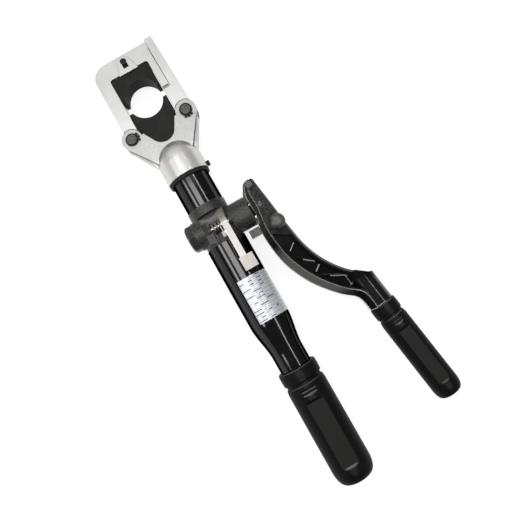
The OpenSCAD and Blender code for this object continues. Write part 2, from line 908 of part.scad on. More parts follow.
module relief_poppet() {
    color("silver") {
        rod_x(relief_seat - poppet_l, relief_seat - fit, y_boss, 0, poppet_r);
        rod_x(relief_seat - over, relief_seat + poppet_nose, y_boss, 0, relief_port - gap / 2);
    }
}

module relief_spring() {
    x = plug_x + plug_wall + fit;
    color("#8a8f94") translate([x, y_boss, 0]) rotate([0, 90, 0])
        spring(poppet_r - relief_wire - gap, relief_wire, relief_turns, relief_seat - poppet_l - fit - x);
}

// Plunger with a slotted tongue for the lever's pin
module pump_plunger() {
    hole = plunger_pin_r + slot_play;
    color("silver") difference() {
        union() {
            rod_x(tip_x, tongue_x + over, y_plunger, 0, plunger_r);
            block([tongue_x, y_plunger - tongue_down, -tongue_t / 2],
                [tongue_x + tongue_l, y_plunger + tongue_up, tongue_t / 2]);
        }
        rod_z(-tongue_t, tongue_t, fulcrum_x, y_plunger, hole);
        rod_z(-tongue_t, tongue_t, fulcrum_x, y_plunger + slot_up, hole);
        block([fulcrum_x - hole, y_plunger, -tongue_t], [fulcrum_x + hole, y_plunger + slot_up, tongue_t]);
    }
}

module pump_gland() {
    color("#6a6a6a") hub_ring(hub_end - gland_l, hub_end + gland_lip);
}

module plunger_seal() {
    x = hub_end - gland_l - pump_seal_l;
    color("#181818") hub_ring(x + fit, x + pump_seal_l - fit);
}

// Ring round the plunger in the hub's mouth
module hub_ring(x0, x1) {
    difference() {
        rod_x(x0, x1, y_plunger, 0, gland_r);
        rod_x(x0 - over, x1 + over, y_plunger, 0, plunger_r + run);
    }
}

// Valves
module delivery_ball() {
    color("silver") translate([port_x, delivery_seat + ball_seat, 0]) sphere(ball_r);
}

module delivery_spring() {
    y = delivery_seat + ball_seat + ball_r + fit;
    color("#8a8f94") translate([port_x, y, 0]) rotate([-90, 0, 0])
        spring(ball_r - 2 * valve_wire, valve_wire, valve_turns, y_foot - delivery_plug_l - fit - y);
}

module delivery_plug() {
    color("#6a6a6a") difference() {
        rod_y(y_foot - delivery_plug_l, y_foot - fit, port_x, 0, ball_r + ball_gap - fit);
        rod_y(y_foot - delivery_plug_l - over, y_foot + over, port_x, 0, port_r / 2);
    }
}

module suction_ball() {
    color("silver") translate([port_x, y_suction + seat_l + ball_seat, 0]) sphere(ball_r);
}

module suction_seat() {
    color("#6a6a6a") difference() {
        rod_y(y_suction, y_suction + seat_l - fit, port_x, 0, ball_r + ball_gap - fit);
        rod_y(y_suction - over, y_suction + seat_l + over, port_x, 0, port_r);
    }
}

// Release lever: pressed bar with a hub on the pivot, a nib for the spring and a wide paddle
function bar_z(y) = pivot_z + bar_lift + (y_pivot - y) * bar_slope;

module release_lever() {
    end = y_pivot - release_l;
    top = y_pivot + bar_top;
    neck = end + paddle_l;
    color("#e4e0d8") difference() {
        union() {
            translate([bar_x, 0, 0]) rotate([90, 0, 90]) linear_extrude(bar_w)
                polygon([[top, bar_z(top) - bar_t / 2], [neck, bar_z(neck) - bar_t / 2],
                    [neck, bar_z(neck) + bar_t / 2], [top, bar_z(top) + bar_t / 2]]);
            rod_x(bar_x, bar_x + bar_w, y_pivot, pivot_z, hub_cover);
            block([paddle_x, end, bar_z(neck) - paddle_t / 2],
                [paddle_x + paddle_w, neck, bar_z(neck) + paddle_t / 2]);
            translate([0, 0, nib_z()]) block([bar_x - nib_w, y_release - nib_l / 2, 0],
                [bar_x + over, y_release + nib_l / 2, nib_t]);
        }
        rod_x(bar_x - over, bar_x + bar_w + over, y_pivot, pivot_z, pivot_r + run);
    }
}

// Underside of the nib that the spring's upper leg bears on
function nib_z() = pivot_z + coil_r + coil_wire + run;

// Torsion spring about the pivot: both legs run down the tool from the coil's two ends
function release_path() =
    let (n = release_turns * rings_per_turn, width = release_turns * coil_pitch,
        turns = [for (i = [0:n]) let (a = -90 + 360 * i / rings_per_turn)
            [coil_x + width * i / n, y_pivot + coil_r * cos(a), pivot_z + coil_r * sin(a)]],
        back = [0, -leg_l, 0], near = [0, -2 * coil_wire, 0])
    concat([turns[0] + back, turns[0] + near], turns, [turns[n] + near, turns[n] + back]);

module release_spring() {
    path = release_path();
    echo(str("release spring least gap ", least_gap(path, coil_wire)));
    color("#c9c9c9") tube(path, coil_wire, [1, 0, 0]);
}

module release_pivot() {
    color("#4a4a4a") rod_x(cheek_left - cheek_w, cheek_right + cheek_w, y_pivot, pivot_z, pivot_r);
}

module release_pin() {
    top = bar_z(y_release + release_pin_r) - bar_t / 2 - run;
    color("silver") rod_z(release_ball_z + ball_r + fit, top, release_x, y_release, release_pin_r);
}

module release_ball() {
    color("silver") translate([release_x, y_release, release_ball_z]) sphere(ball_r);
}

module release_return() {
    top = release_ball_z - ball_r - fit;
    bottom = release_plug_z + release_plug_l + fit;
    color("#8a8f94") translate([release_x, y_release, bottom])
        spring(ball_r - 2 * valve_wire, valve_wire, 2 * valve_turns, top - bottom);
}

// Plug with a hex socket that closes the release valve at the back
module release_plug() {
    color("#4a4a4a") difference() {
        rod_z(release_plug_z, release_plug_z + release_plug_l, release_x, y_release, release_bore - fit);
        translate([release_x, y_release, release_plug_z - over])
            cylinder(h = release_plug_l / 2 + over, r = release_bore / 2, $fn = 6);
    }
}

// Moving lever: an I-beam with bevelled sides, forked at its top
function lever_point(s) = [lever_x + lever_reach * s.x, lever_y - lever_drop * s.y];
function inset_side(p, d) = [for (i = [0:len(p) - 1]) p[i] + [d.x, i == 0 || i == len(p) - 1 ? 0 : d.y]];
function lever_ring(share, z) =
    let (left = inset_side(lever_left, share * lever_bevels[0]),
        right = inset_side(lever_right, share * lever_bevels[1]))
    concat([for (q = left) [q.x, q.y, z]],
        [for (i = [len(right) - 1:-1:0]) [right[i].x, right[i].y, z]]);

// Solid through four outlines of the lever, wide in its middle band
module lever_loft() {
    n = 2 * len(lever_left);
    levels = [[1, -lever_half], [0, -lever_band], [0, lever_band], [1, lever_half]];
    points = [for (l = levels) each lever_ring(l[0], l[1])];
    walls = [for (k = [0:len(levels) - 2], i = [0:n - 1])
        let (a = k * n + i, b = k * n + (i + 1) % n) each [[a, a + n, b], [b, a + n, b + n]]];
    o = (len(levels) - 1) * n;
    bottom = [for (i = [0:n / 2 - 2]) each [[i, i + 1, n - 2 - i], [i, n - 2 - i, n - 1 - i]]];
    top = [for (t = bottom) [o + t[0], o + t[2], o + t[1]]];
    polyhedron(points, concat(bottom, walls, top));
}

// Outline inside the rims, from one station of the lever to another
module lever_recess() {
    left = inset_side(lever_left, lever_bevels[0] + lever_rims[0]);
    right = inset_side(lever_right, lever_bevels[1] + lever_rims[1]);
    polygon(concat([for (i = [recess_from:recess_to]) left[i]],
        [for (i = [recess_to:-1:recess_from]) right[i]]));
}

// Zig-zag ribs that cross the recess
module lever_ribs() {
    left = inset_side(lever_left, lever_bevels[0] + lever_rims[0] / 2);
    right = inset_side(lever_right, lever_bevels[1] + lever_rims[1] / 2);
    stations = [for (i = [recess_from + 1:rib_step:recess_to]) i];
    translate([0, 0, -rib_z]) linear_extrude(2 * rib_z) for (k = [0:len(stations) - 2]) {
        even = k % 2 == 0;
        a = (even ? right : left)[stations[k]];
        b = (even ? left : right)[stations[k + 1]];
        translate(a) rotate(atan2(b.y - a.y, b.x - a.x)) translate([0, -rib_w / 2])
            square([norm(b - a), rib_w]);
    }
}

// Round end of the lever, cut off along its outline at the elbow
module lever_socket() {
    intersection() {
        at_hand() rod_y(0, socket_l, 0, 0, socket_r);
        translate([0, 0, -lever_t]) linear_extrude(2 * lever_t) lever_outline();
    }
}

module lever_outline() {
    polygon(concat(lever_left, [for (i = [len(lever_right) - 1:-1:0]) lever_right[i]]));
}

module handle_lever() {
    slot = lug_t / 2 + clevis_gap;
    bolt = [fulcrum_x, fulcrum_y] + bolt_shift;
    color("#333333") difference() {
        union() {
            difference() {
                lever_loft();
                for (s = [0, 1]) mirror([0, 0, s]) translate([0, 0, lever_web])
                    linear_extrude(lever_half) lever_recess();
                at_hand() block([socket_cut - socket_r, -over, -lever_t], [2 * socket_r, socket_l, lever_t]);
                at_hand() block([-2 * socket_r, -socket_r, -lever_t], [2 * socket_r, run, lever_t]);
            }
            lever_ribs();
            at_hand() rod_y(-hand_core_l, socket_r, 0, 0, hand_core_r);
            lever_socket();
        }
        block([lever_x - lever_reach, fulcrum_y - clevis_drop, -slot],
            [lever_x + lever_reach, lever_y + over, slot]);
        translate([fulcrum_x, fulcrum_y, 0]) rotate(close_angle) translate([-fulcrum_x, -fulcrum_y, 0])
            hub_room();
        rod_z(-lever_t, lever_t, fulcrum_x, fulcrum_y, fulcrum_r + run);
        rod_z(-lever_t, lever_t, fulcrum_x, y_plunger, plunger_pin_r + fit);
        rod_z(-lever_t, lever_t, bolt.x, bolt.y, bolt_r + fit);
        rod_x(stop_x, stop_x + stop_reach + stop_stem, stop_y, 0, stop_stem_r + fit);
    }
}

module handle_bolt() {
    c = [fulcrum_x, fulcrum_y] + bolt_shift;
    color("#3c3c3c") translate([c.x, c.y, 0]) {
        translate([0, 0, -lever_half - nut_h - over]) cylinder(h = lever_t + nut_h + 2 * over, r = bolt_r);
        translate([0, 0, lever_half + fit]) rotate_extrude() bolt_section();
    }
}

// Half section of the bolt's head with a rounded edge
module bolt_section() {
    square([bolt_head_r, bolt_head_h - bolt_dome]);
    square([bolt_head_r - bolt_dome, bolt_head_h]);
    translate([bolt_head_r - bolt_dome, bolt_head_h - bolt_dome]) intersection() {
        circle(bolt_dome);
        square(bolt_dome);
    }
}

module handle_nut() {
    c = [fulcrum_x, fulcrum_y] + bolt_shift;
    color("#3c3c3c") translate([c.x, c.y, -lever_half - nut_h - fit]) difference() {
        cylinder(h = nut_h, r = nut_r, $fn = 6);
        translate([0, 0, -over]) cylinder(h = nut_h + 2 * over, r = bolt_r + fit);
    }
}

module stop_pad() {
    color("#5a5a5a") {
        block([stop_x, stop_y - stop_h / 2, -stop_t / 2],
            [stop_x + stop_reach, stop_y + stop_h / 2, stop_t / 2]);
        rod_x(stop_x + over, stop_x + stop_reach + stop_stem - gap, stop_y, 0, stop_stem_r);
    }
}

module fulcrum_pin() {
    color("#505050") lever_pin(fulcrum_y, fulcrum_r);
}

module plunger_pin() {
    color("#6a6a6a") lever_pin(y_plunger, plunger_pin_r);
}

// Cross pin that stands a little out of both lever cheeks
module lever_pin(y, r) {
    rod_z(-lever_half - pin_stand, lever_half + pin_stand, fulcrum_x, y, r);
}

// Frame at the top of the moving grip, with its own axis along Y
module at_hand() {
    translate([hand_x, hand_y, 0]) rotate(hand_lean) children();
}

module moving_grip() {
    groove = hand_collar_l + hand_groove_l;
    color("#1b1b1b") at_hand() difference() {
        turned([[0, -hand_l], [hand_r - hand_tip, -hand_l], [hand_r, hand_round - hand_l],
            [hand_r, -groove], [hand_r - hand_groove_in, -groove],
            [hand_r - hand_groove_in, -hand_collar_l],
            [hand_r, -hand_collar_l], [hand_r, 0], [0, 0]]);
        rod_y(-hand_core_l - gap, over, 0, 0, hand_core_r + fit);
        block([-hand_r, -panel_shares[1] * hand_l, hand_r - hand_panel_d],
            [hand_r, -panel_shares[0] * hand_l, hand_r + over]);
    }
}

// Reservoir and fixed handle
module reservoir_tube() {
    narrow = stem_r - stem_wall;
    color("#151515") turned([[inner_r, y_pump], [tube_r, y_pump], [tube_r, y_tube], [wrist_r, y_taper],
        [wrist_r, y_grip], [stem_r, y_grip], [stem_r, stem_end], [narrow, stem_end], [narrow, y_taper],
        [inner_r, y_tube]]);
}

module oil_bladder() {
    outer = inner_r - bladder_gap;
    inner = outer - bladder_t;
    color("#3d3028") turned([[0, y_tube], [outer, y_tube], [outer, bladder_top], [inner, bladder_top],
        [inner, y_tube + bladder_t], [0, y_tube + bladder_t]]);
}

module oil_filter() {
    bottom = y_suction - filter_l;
    inner = filter_r - filter_t;
    color("#b8a060") turned([[0, bottom], [filter_r, bottom], [filter_r, y_suction - fit],
        [inner, y_suction - fit], [inner, bottom + filter_t], [0, bottom + filter_t]]);
}

module reservoir_cap() {
    narrow = stem_r - stem_wall;
    color("#555555") {
        rod_y(stem_end - cap_l, stem_end - fit, 0, 0, stem_r);
        rod_y(stem_end - over, stem_end + cap_l, 0, 0, narrow - fit);
    }
}

module fixed_grip() {
    collar = y_grip - collar_l;
    panel = [for (s = panel_shares) y_grip - s * grip_l];
    color("#1b1b1b") difference() {
        turned([[0, y_end], [grip_r - grip_tip, y_end], [grip_r, y_end + grip_round],
            [grip_r, collar - groove_l], [grip_r - groove_in, collar - groove_l],
            [grip_r - groove_in, collar], [grip_r, collar], [grip_r, y_grip], [0, y_grip]]);
        rod_y(stem_end - cap_l - gap, y_grip + over, 0, 0, stem_r + fit);
        block([-grip_r, panel[1], grip_r - panel_d], [grip_r, panel[0], grip_r + over]);
    }
}

// Bare foil plate wrapped on the tube
module label_plate() {
    color("#c8ccd2") rotate([0, label_from - 90, 0]) rotate([-90, 0, 0]) rotate_extrude(angle = label_sweep)
        translate([tube_r + fit, label_y - label_l]) square([label_t, label_l]);
}

head_fork();
yoke();
latch_bar();
yoke_pin();
latch_pin();
pin_clips();
upper_die();
lower_die();
die_lock_pin();
swivel_ring();
neck_screw();
cylinder_part();  // cylinder
ram();
piston_seal();
ram_spring();
guide_bush();
cylinder_seal();
die_stud();
pump_body();
relief_plug();
relief_poppet();
relief_spring();
pump_plunger();
pump_gland();
plunger_seal();
delivery_ball();
delivery_spring();
delivery_plug();
suction_ball();
suction_seat();
release_lever();
release_spring();
release_pivot();
release_pin();
release_ball();
release_return();
release_plug();
handle_lever();
handle_bolt();
handle_nut();
stop_pad();
fulcrum_pin();
plunger_pin();
moving_grip();
reservoir_tube();
oil_bladder();
oil_filter();
reservoir_cap();
fixed_grip();
label_plate();
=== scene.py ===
import bpy, bmesh, json
from math import sin, cos, pi, radians
from mathutils import Vector, Matrix


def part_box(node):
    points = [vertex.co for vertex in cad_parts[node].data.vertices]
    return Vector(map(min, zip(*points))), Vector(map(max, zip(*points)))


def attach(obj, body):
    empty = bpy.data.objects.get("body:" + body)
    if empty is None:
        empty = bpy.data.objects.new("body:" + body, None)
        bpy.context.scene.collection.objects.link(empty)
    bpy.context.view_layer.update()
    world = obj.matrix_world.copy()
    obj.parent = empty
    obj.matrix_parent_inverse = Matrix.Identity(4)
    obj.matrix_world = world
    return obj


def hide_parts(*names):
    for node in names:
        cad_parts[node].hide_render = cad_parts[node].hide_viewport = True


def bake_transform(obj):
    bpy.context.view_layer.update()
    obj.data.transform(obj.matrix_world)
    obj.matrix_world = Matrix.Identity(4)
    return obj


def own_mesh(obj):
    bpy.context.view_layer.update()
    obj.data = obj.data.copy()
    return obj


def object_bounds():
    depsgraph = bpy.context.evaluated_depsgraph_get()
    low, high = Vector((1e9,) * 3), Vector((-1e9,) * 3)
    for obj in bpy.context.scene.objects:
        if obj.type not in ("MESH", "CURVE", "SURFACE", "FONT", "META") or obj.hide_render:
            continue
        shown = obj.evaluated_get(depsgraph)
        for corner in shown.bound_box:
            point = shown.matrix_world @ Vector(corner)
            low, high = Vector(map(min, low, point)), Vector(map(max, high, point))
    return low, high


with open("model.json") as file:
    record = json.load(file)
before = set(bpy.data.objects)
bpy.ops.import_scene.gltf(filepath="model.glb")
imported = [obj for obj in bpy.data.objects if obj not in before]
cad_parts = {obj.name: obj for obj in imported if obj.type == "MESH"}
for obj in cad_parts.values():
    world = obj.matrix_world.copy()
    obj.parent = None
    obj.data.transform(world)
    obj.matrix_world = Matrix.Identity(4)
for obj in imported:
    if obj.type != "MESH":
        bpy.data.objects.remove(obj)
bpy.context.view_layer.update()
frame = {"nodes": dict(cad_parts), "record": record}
scene = bpy.context.scene
print("frame loaded:", len(frame["nodes"]), "nodes")

mm = 0.001
weld = 1e-6  # metres, points closer than this are one


def linear(hexColour):  # sRGB hex to the linear values that shaders take
    parts = [int(hexColour[i:i + 2], 16) / 255 for i in (1, 3, 5)]
    return [c / 12.92 if c <= 0.04045 else ((c + 0.055) / 1.055) ** 2.4 for c in parts] + [1]


def perMetre(sizeMm):  # pattern scale whose features are about that many millimetres
    return 1000 / sizeMm


def inMetres(places):  # a dictionary of places given in millimetres
    return {key: [value * mm for value in values] for key, values in places.items()}


def addNode(tree, kind, settings=None, links=None):  # kind is Blender's name without its ShaderNode start
    node = tree.nodes.new("ShaderNode" + kind)
    for key, value in (settings or {}).items():
        if isinstance(key, str) and hasattr(node, key):
            setattr(node, key, value)
        else:
            node.inputs[key].default_value = value
    for key, socket in (links or {}).items():
        tree.links.new(socket, node.inputs[key])
    return node


def startMaterial(name, sockets):
    material = bpy.data.materials.new(name)
    material.use_nodes = True
    tree = material.node_tree
    shader = tree.nodes["Principled BSDF"]
    for key, value in sockets.items():
        shader.inputs[key].default_value = value
    place = addNode(tree, "TexCoord").outputs["Object"]
    return material, tree, shader, place


def intoShader(tree, shader, sources):  # what drives each of the shader's sockets
    for key, socket in sources.items():
        tree.links.new(socket, shader.inputs[key])


# Camera, set to the photograph's view
cameraLook = {"at": (19.45, -242.4, 498.0), "view": (0, 0.0889, -0.9960), "roll": 29.7, "lens": 35.16,
              "sensor": 36, "nearest": 10}  # mm and degrees

camera = bpy.data.objects.new("camera", bpy.data.cameras.new("camera"))
scene.collection.objects.link(camera)
ahead = Vector(cameraLook["view"]).normalized()
side = Vector((1, 0, 0))
over = side.cross(ahead)
turn = radians(cameraLook["roll"])
up = cos(turn) * over + sin(turn) * side
right = cos(turn) * side - sin(turn) * over
aimed = Matrix((right, up, -ahead)).transposed().to_4x4()
camera.matrix_world = Matrix.Translation(Vector(cameraLook["at"]) * mm) @ aimed
camera.data.sensor_width = cameraLook["sensor"]
camera.data.lens = cameraLook["lens"]
camera.data.clip_start = cameraLook["nearest"] * mm
scene.camera = camera
print("camera set")


# Milled steel, nickel plated and satin: soft bright grey, faint tool marks, a little uneven sheen
def satinNickelSteel():
    material, tree, shader, place = startMaterial("satinNickelSteel", {"Metallic": 1.0})
    marks = addNode(tree, "Mapping", {"Scale": (perMetre(9), perMetre(1.1), perMetre(3))}, {"Vector": place})
    brushed = addNode(tree, "TexNoise", {"Scale": 1.0, "Detail": 3.0}, {"Vector": marks.outputs[0]})
    cloud = addNode(tree, "TexNoise", {"Scale": perMetre(18), "Detail": 4.0}, {"Vector": place})
    tone = addNode(tree, "Mix", {"data_type": "RGBA", 6: linear("#d4d4d2"), 7: linear("#eeeeec")},
                   {0: cloud.outputs[0]})
    # painted shade: the colour darkens towards #4a4947 in creases and between parts, where the AO finds them
    crease = addNode(tree, "AmbientOcclusion", {"samples": 6, "Distance": 3.2 * mm})
    creaseShade = addNode(tree, "MapRange", {"From Min": 0.78, "From Max": 0.4, "To Max": 0.9},
                    {"Value": crease.outputs["AO"]})
    creaseShaded = addNode(tree, "Mix", {"data_type": "RGBA", 7: linear("#4a4947")},
                     {0: creaseShade.outputs[0], 6: tone.outputs[2]})
    rough = addNode(tree, "MapRange", {"To Min": 0.30, "To Max": 0.46}, {"Value": brushed.outputs[0]})
    bump = addNode(tree, "Bump", {"Strength": 0.12, "Distance": 0.05 * mm}, {"Height": brushed.outputs[0]})
    edge = addNode(tree, "Bevel", {"samples": 4, "Radius": 0.4 * mm}, {"Normal": bump.outputs[0]})
    intoShader(tree, shader, {"Base Color": creaseShaded.outputs[2], "Roughness": rough.outputs[0],
                              "Normal": edge.outputs[0]})
    return material


# Forged steel, blasted on the fork and turned bright on the neck: grainy light grey, then long streaks
headPlaces = {"neck": (-66, -72)}  # mm along the tool, where the blasting ends


def blastedForgedSteel():
    at = inMetres(headPlaces)
    material, tree, shader, place = startMaterial("blastedForgedSteel", {"Metallic": 1.0})
    grain = addNode(tree, "TexNoise", {"Scale": perMetre(1.3), "Detail": 5.0}, {"Vector": place})
    cloud = addNode(tree, "TexNoise", {"Scale": perMetre(14), "Detail": 3.0}, {"Vector": place})
    long = addNode(tree, "Mapping", {"Scale": (perMetre(5), perMetre(90), perMetre(5))}, {"Vector": place})
    streak = addNode(tree, "TexNoise", {"Scale": 1.0, "Detail": 3.0}, {"Vector": long.outputs[0]})
    split = addNode(tree, "SeparateXYZ", None, {0: place})
    neck = addNode(tree, "MapRange", {"From Min": at["neck"][0], "From Max": at["neck"][1]},
                   {"Value": split.outputs[1]})
    blasted = addNode(tree, "Mix", {"data_type": "RGBA", 6: linear("#a6a6a4"), 7: linear("#d2d2d0")},
                      {0: grain.outputs[0]})
    turned = addNode(tree, "Mix", {"data_type": "RGBA", 6: linear("#cbc9c4"), 7: linear("#dedcd7")},
                     {0: streak.outputs[0]})
    tone = addNode(tree, "Mix", {"data_type": "RGBA"},
                   {0: neck.outputs[0], 6: blasted.outputs[2], 7: turned.outputs[2]})
    # painted shade: the colour darkens towards #454442 in creases and between parts, where the AO finds them
    crease = addNode(tree, "AmbientOcclusion", {"samples": 6, "Distance": 3.4 * mm})
    creaseShade = addNode(tree, "MapRange", {"From Min": 0.82, "From Max": 0.45, "To Max": 0.9},
                    {"Value": crease.outputs["AO"]})
    creaseShaded = addNode(tree, "Mix", {"data_type": "RGBA", 7: linear("#454442")},
                     {0: creaseShade.outputs[0], 6: tone.outputs[2]})
    blastRough = addNode(tree, "MapRange", {"To Min": 0.40, "To Max": 0.52}, {"Value": cloud.outputs[0]})
    rough = addNode(tree, "Mix", {3: 0.33}, {0: neck.outputs[0], 2: blastRough.outputs[0]})
    calm = addNode(tree, "MapRange", {"To Min": 0.22, "To Max": 0.0}, {"Value": neck.outputs[0]})
    bump = addNode(tree, "Bump", {"Distance": 0.12 * mm},
                   {"Strength": calm.outputs[0], "Height": grain.outputs[0]})
    edge = addNode(tree, "Bevel", {"samples": 4, "Radius": 0.4 * mm}, {"Normal": bump.outputs[0]})
    metal = addNode(tree, "MapRange", {"To Min": 1.0, "To Max": 0.55}, {"Value": neck.outputs[0]})
    intoShader(tree, shader, {"Base Color": creaseShaded.outputs[2], "Metallic": metal.outputs[0],
                              "Roughness": rough.outputs[0], "Normal": edge.outputs[0]})
    return material


# Tool steel with a black oxide: nearly black and matte, rubbed paler along its edges
def blackOxideSteel():
    material, tree, shader, place = startMaterial("blackOxideSteel", {"Specular IOR Level": 0.06})
    grain = addNode(tree, "TexNoise", {"Scale": perMetre(0.9), "Detail": 4.0}, {"Vector": place})
    cloud = addNode(tree, "TexNoise", {"Scale": perMetre(11), "Detail": 4.0}, {"Vector": place})
    soft = addNode(tree, "Bevel", {"samples": 4, "Radius": 0.5 * mm})
    plain = addNode(tree, "NewGeometry")
    facing = addNode(tree, "VectorMath", {"operation": "DOT_PRODUCT"},
                     {0: soft.outputs[0], 1: plain.outputs["Normal"]})
    onEdge = addNode(tree, "MapRange", {"From Min": 0.985, "From Max": 0.9, "To Max": 0.55},
                   {"Value": facing.outputs["Value"]})
    tone = addNode(tree, "Mix", {"data_type": "RGBA", 6: linear("#191919"), 7: linear("#2f2f2e")},
                   {0: cloud.outputs[0]})
    lightened = addNode(tree, "Mix", {"data_type": "RGBA", 7: linear("#5d5d5b")},
                     {0: onEdge.outputs[0], 6: tone.outputs[2]})
    rough = addNode(tree, "MapRange", {"To Min": 0.42, "To Max": 0.62}, {"Value": cloud.outputs[0]})
    bump = addNode(tree, "Bump", {"Strength": 0.25, "Distance": 0.08 * mm}, {"Height": grain.outputs[0]})
    intoShader(tree, shader, {"Base Color": lightened.outputs[2], "Roughness": rough.outputs[0],
                              "Normal": bump.outputs[0]})
    return material


# Steel tube, sprayed gloss black: deep black with sharp long lights and a trace of orange peel
def glossBlackPaint():  # shaded as a very dark metal, so that its edges stay as black as the real lacquer's
    material, tree, shader, place = startMaterial("glossBlackPaint",
                                                  {"Metallic": 1.0, "Specular Tint": linear("#000000")})
    peel = addNode(tree, "TexNoise", {"Scale": perMetre(2.4), "Detail": 2.0}, {"Vector": place})
    handled = addNode(tree, "TexNoise", {"Scale": perMetre(26), "Detail": 5.0}, {"Vector": place})
    tone = addNode(tree, "Mix", {"data_type": "RGBA", 6: linear("#3e3e3e"), 7: linear("#494949")},
                   {0: handled.outputs[0]})
    rough = addNode(tree, "MapRange", {"To Min": 0.07, "To Max": 0.16}, {"Value": handled.outputs[0]})
    bump = addNode(tree, "Bump", {"Strength": 0.06, "Distance": 0.06 * mm}, {"Height": peel.outputs[0]})
    edge = addNode(tree, "Bevel", {"samples": 4, "Radius": 0.5 * mm}, {"Normal": bump.outputs[0]})
    intoShader(tree, shader, {"Base Color": tone.outputs[2], "Roughness": rough.outputs[0],
                              "Normal": edge.outputs[0]})
    return material


# Sand-cast iron under matte dark-grey paint: pebbled skin, paler where it is rubbed
pumpPlaces = {"floor": (10.6, 0.3), "width": (0, 13.4),  # mm, middle and half of the bare pocket in z and x
              "lip": (-1.5, -125.8, 0), "lipShade": (18.2, 17.2),  # the lip's centre and distances from it
              "spring": (-146.5, -149.5)}  # by y


def paintedCastIron():
    at = inMetres(pumpPlaces)
    material, tree, shader, place = startMaterial("paintedCastIron", {"Specular IOR Level": 0.5})
    sand = addNode(tree, "TexNoise", {"Scale": perMetre(1.5), "Detail": 6.0}, {"Vector": place})
    cloud = addNode(tree, "TexNoise", {"Scale": perMetre(2.2), "Detail": 5.0}, {"Vector": place})
    soft = addNode(tree, "Bevel", {"samples": 4, "Radius": 0.9 * mm})
    plain = addNode(tree, "NewGeometry")
    facing = addNode(tree, "VectorMath", {"operation": "DOT_PRODUCT"},
                     {0: soft.outputs[0], 1: plain.outputs["Normal"]})
    onEdge = addNode(tree, "MapRange", {"From Min": 0.985, "From Max": 0.9, "To Max": 0.4},
                   {"Value": facing.outputs["Value"]})
    pebble = addNode(tree, "MapRange", {"From Min": 0.36, "From Max": 0.66}, {"Value": cloud.outputs[0]})
    tone = addNode(tree, "Mix", {"data_type": "RGBA", 6: linear("#131313"), 7: linear("#343331")},
                   {0: pebble.outputs[0]})
    lightened = addNode(tree, "Mix", {"data_type": "RGBA", 7: linear("#747370")},
                     {0: onEdge.outputs[0], 6: tone.outputs[2]})
    split = addNode(tree, "SeparateXYZ", None, {0: place})
    depth = addNode(tree, "Math", {"operation": "COMPARE", 1: at["floor"][0], 2: at["floor"][1]},
                    {0: split.outputs[2]})
    inside = addNode(tree, "Math", {"operation": "COMPARE", 1: at["width"][0], 2: at["width"][1]},
                     {0: split.outputs[0]})
    pocket = addNode(tree, "Math", {"operation": "MULTIPLY"}, {0: depth.outputs[0], 1: inside.outputs[0]})
    milled = addNode(tree, "Mix", {"data_type": "RGBA", 6: linear("#4a433c"), 7: linear("#7d7369")},
                     {0: cloud.outputs[0]})
    flatPlace = addNode(tree, "CombineXYZ", None, {0: split.outputs[0], 1: split.outputs[1]})
    lip = addNode(tree, "VectorMath", {"operation": "DISTANCE", 1: at["lip"]}, {0: flatPlace.outputs[0]})
    lipShadow = addNode(tree, "MapRange",
                       {"From Min": at["lipShade"][0], "From Max": at["lipShade"][1], "To Max": 0.93},
                       {"Value": lip.outputs["Value"]})  # painted shadow under the barrel's lip
    pocketFootShade = addNode(tree, "MapRange",
                     {"From Min": at["spring"][0], "From Max": at["spring"][1], "To Max": 0.93},
                     {"Value": split.outputs[1]})  # and painted shade at the pocket's low end, round the spring
    pocketShade = addNode(tree, "Math", {"operation": "MAXIMUM"}, {0: lipShadow.outputs[0], 1: pocketFootShade.outputs[0]})
    # the pocket floor is painted near black (#0a0a0a) as shadow under the lip and shade at its low end
    shadedFloor = addNode(tree, "Mix", {"data_type": "RGBA", 7: linear("#0a0a0a")},
                        {0: pocketShade.outputs[0], 6: milled.outputs[2]})
    painted = addNode(tree, "Mix", {"data_type": "RGBA"},
                      {0: pocket.outputs[0], 6: lightened.outputs[2], 7: shadedFloor.outputs[2]})
    rough = addNode(tree, "MapRange", {"To Min": 0.34, "To Max": 0.52}, {"Value": sand.outputs[0]})
    bump = addNode(tree, "Bump", {"Strength": 0.8, "Distance": 0.3 * mm}, {"Height": sand.outputs[0]})
    intoShader(tree, shader, {"Base Color": painted.outputs[2], "Roughness": rough.outputs[0],
                              "Normal": bump.outputs[0]})
    return material


# Cast lever under semi-gloss black paint: smoother than the pump; painted highlights on the edges of its rim
# and ribs that face the lamps
leverPlaces = {"bend": (155.7, -187.1, 0),  # mm, centre of the beam's bend
               "rim": (110.4, 111.2), "litFlank": (108.5, 111.5),  # distances from it
               "steepRib": (103.3, 4), "flatRib": (102, 2.7),  # middle and half of such distances
               "recess": (88.2, 87.2), "shank": (98, 102),  # by x
               "ribs": (-196, -204), "ground": (-200, -212),  # by y
               "elbow": (-266, -276), "fork": (-205, -172)}
litSides = {"hand": (-0.86, -0.5, 0), "rib": (-0.74, 0.67, 0)}  # ways that the edges with painted highlights face
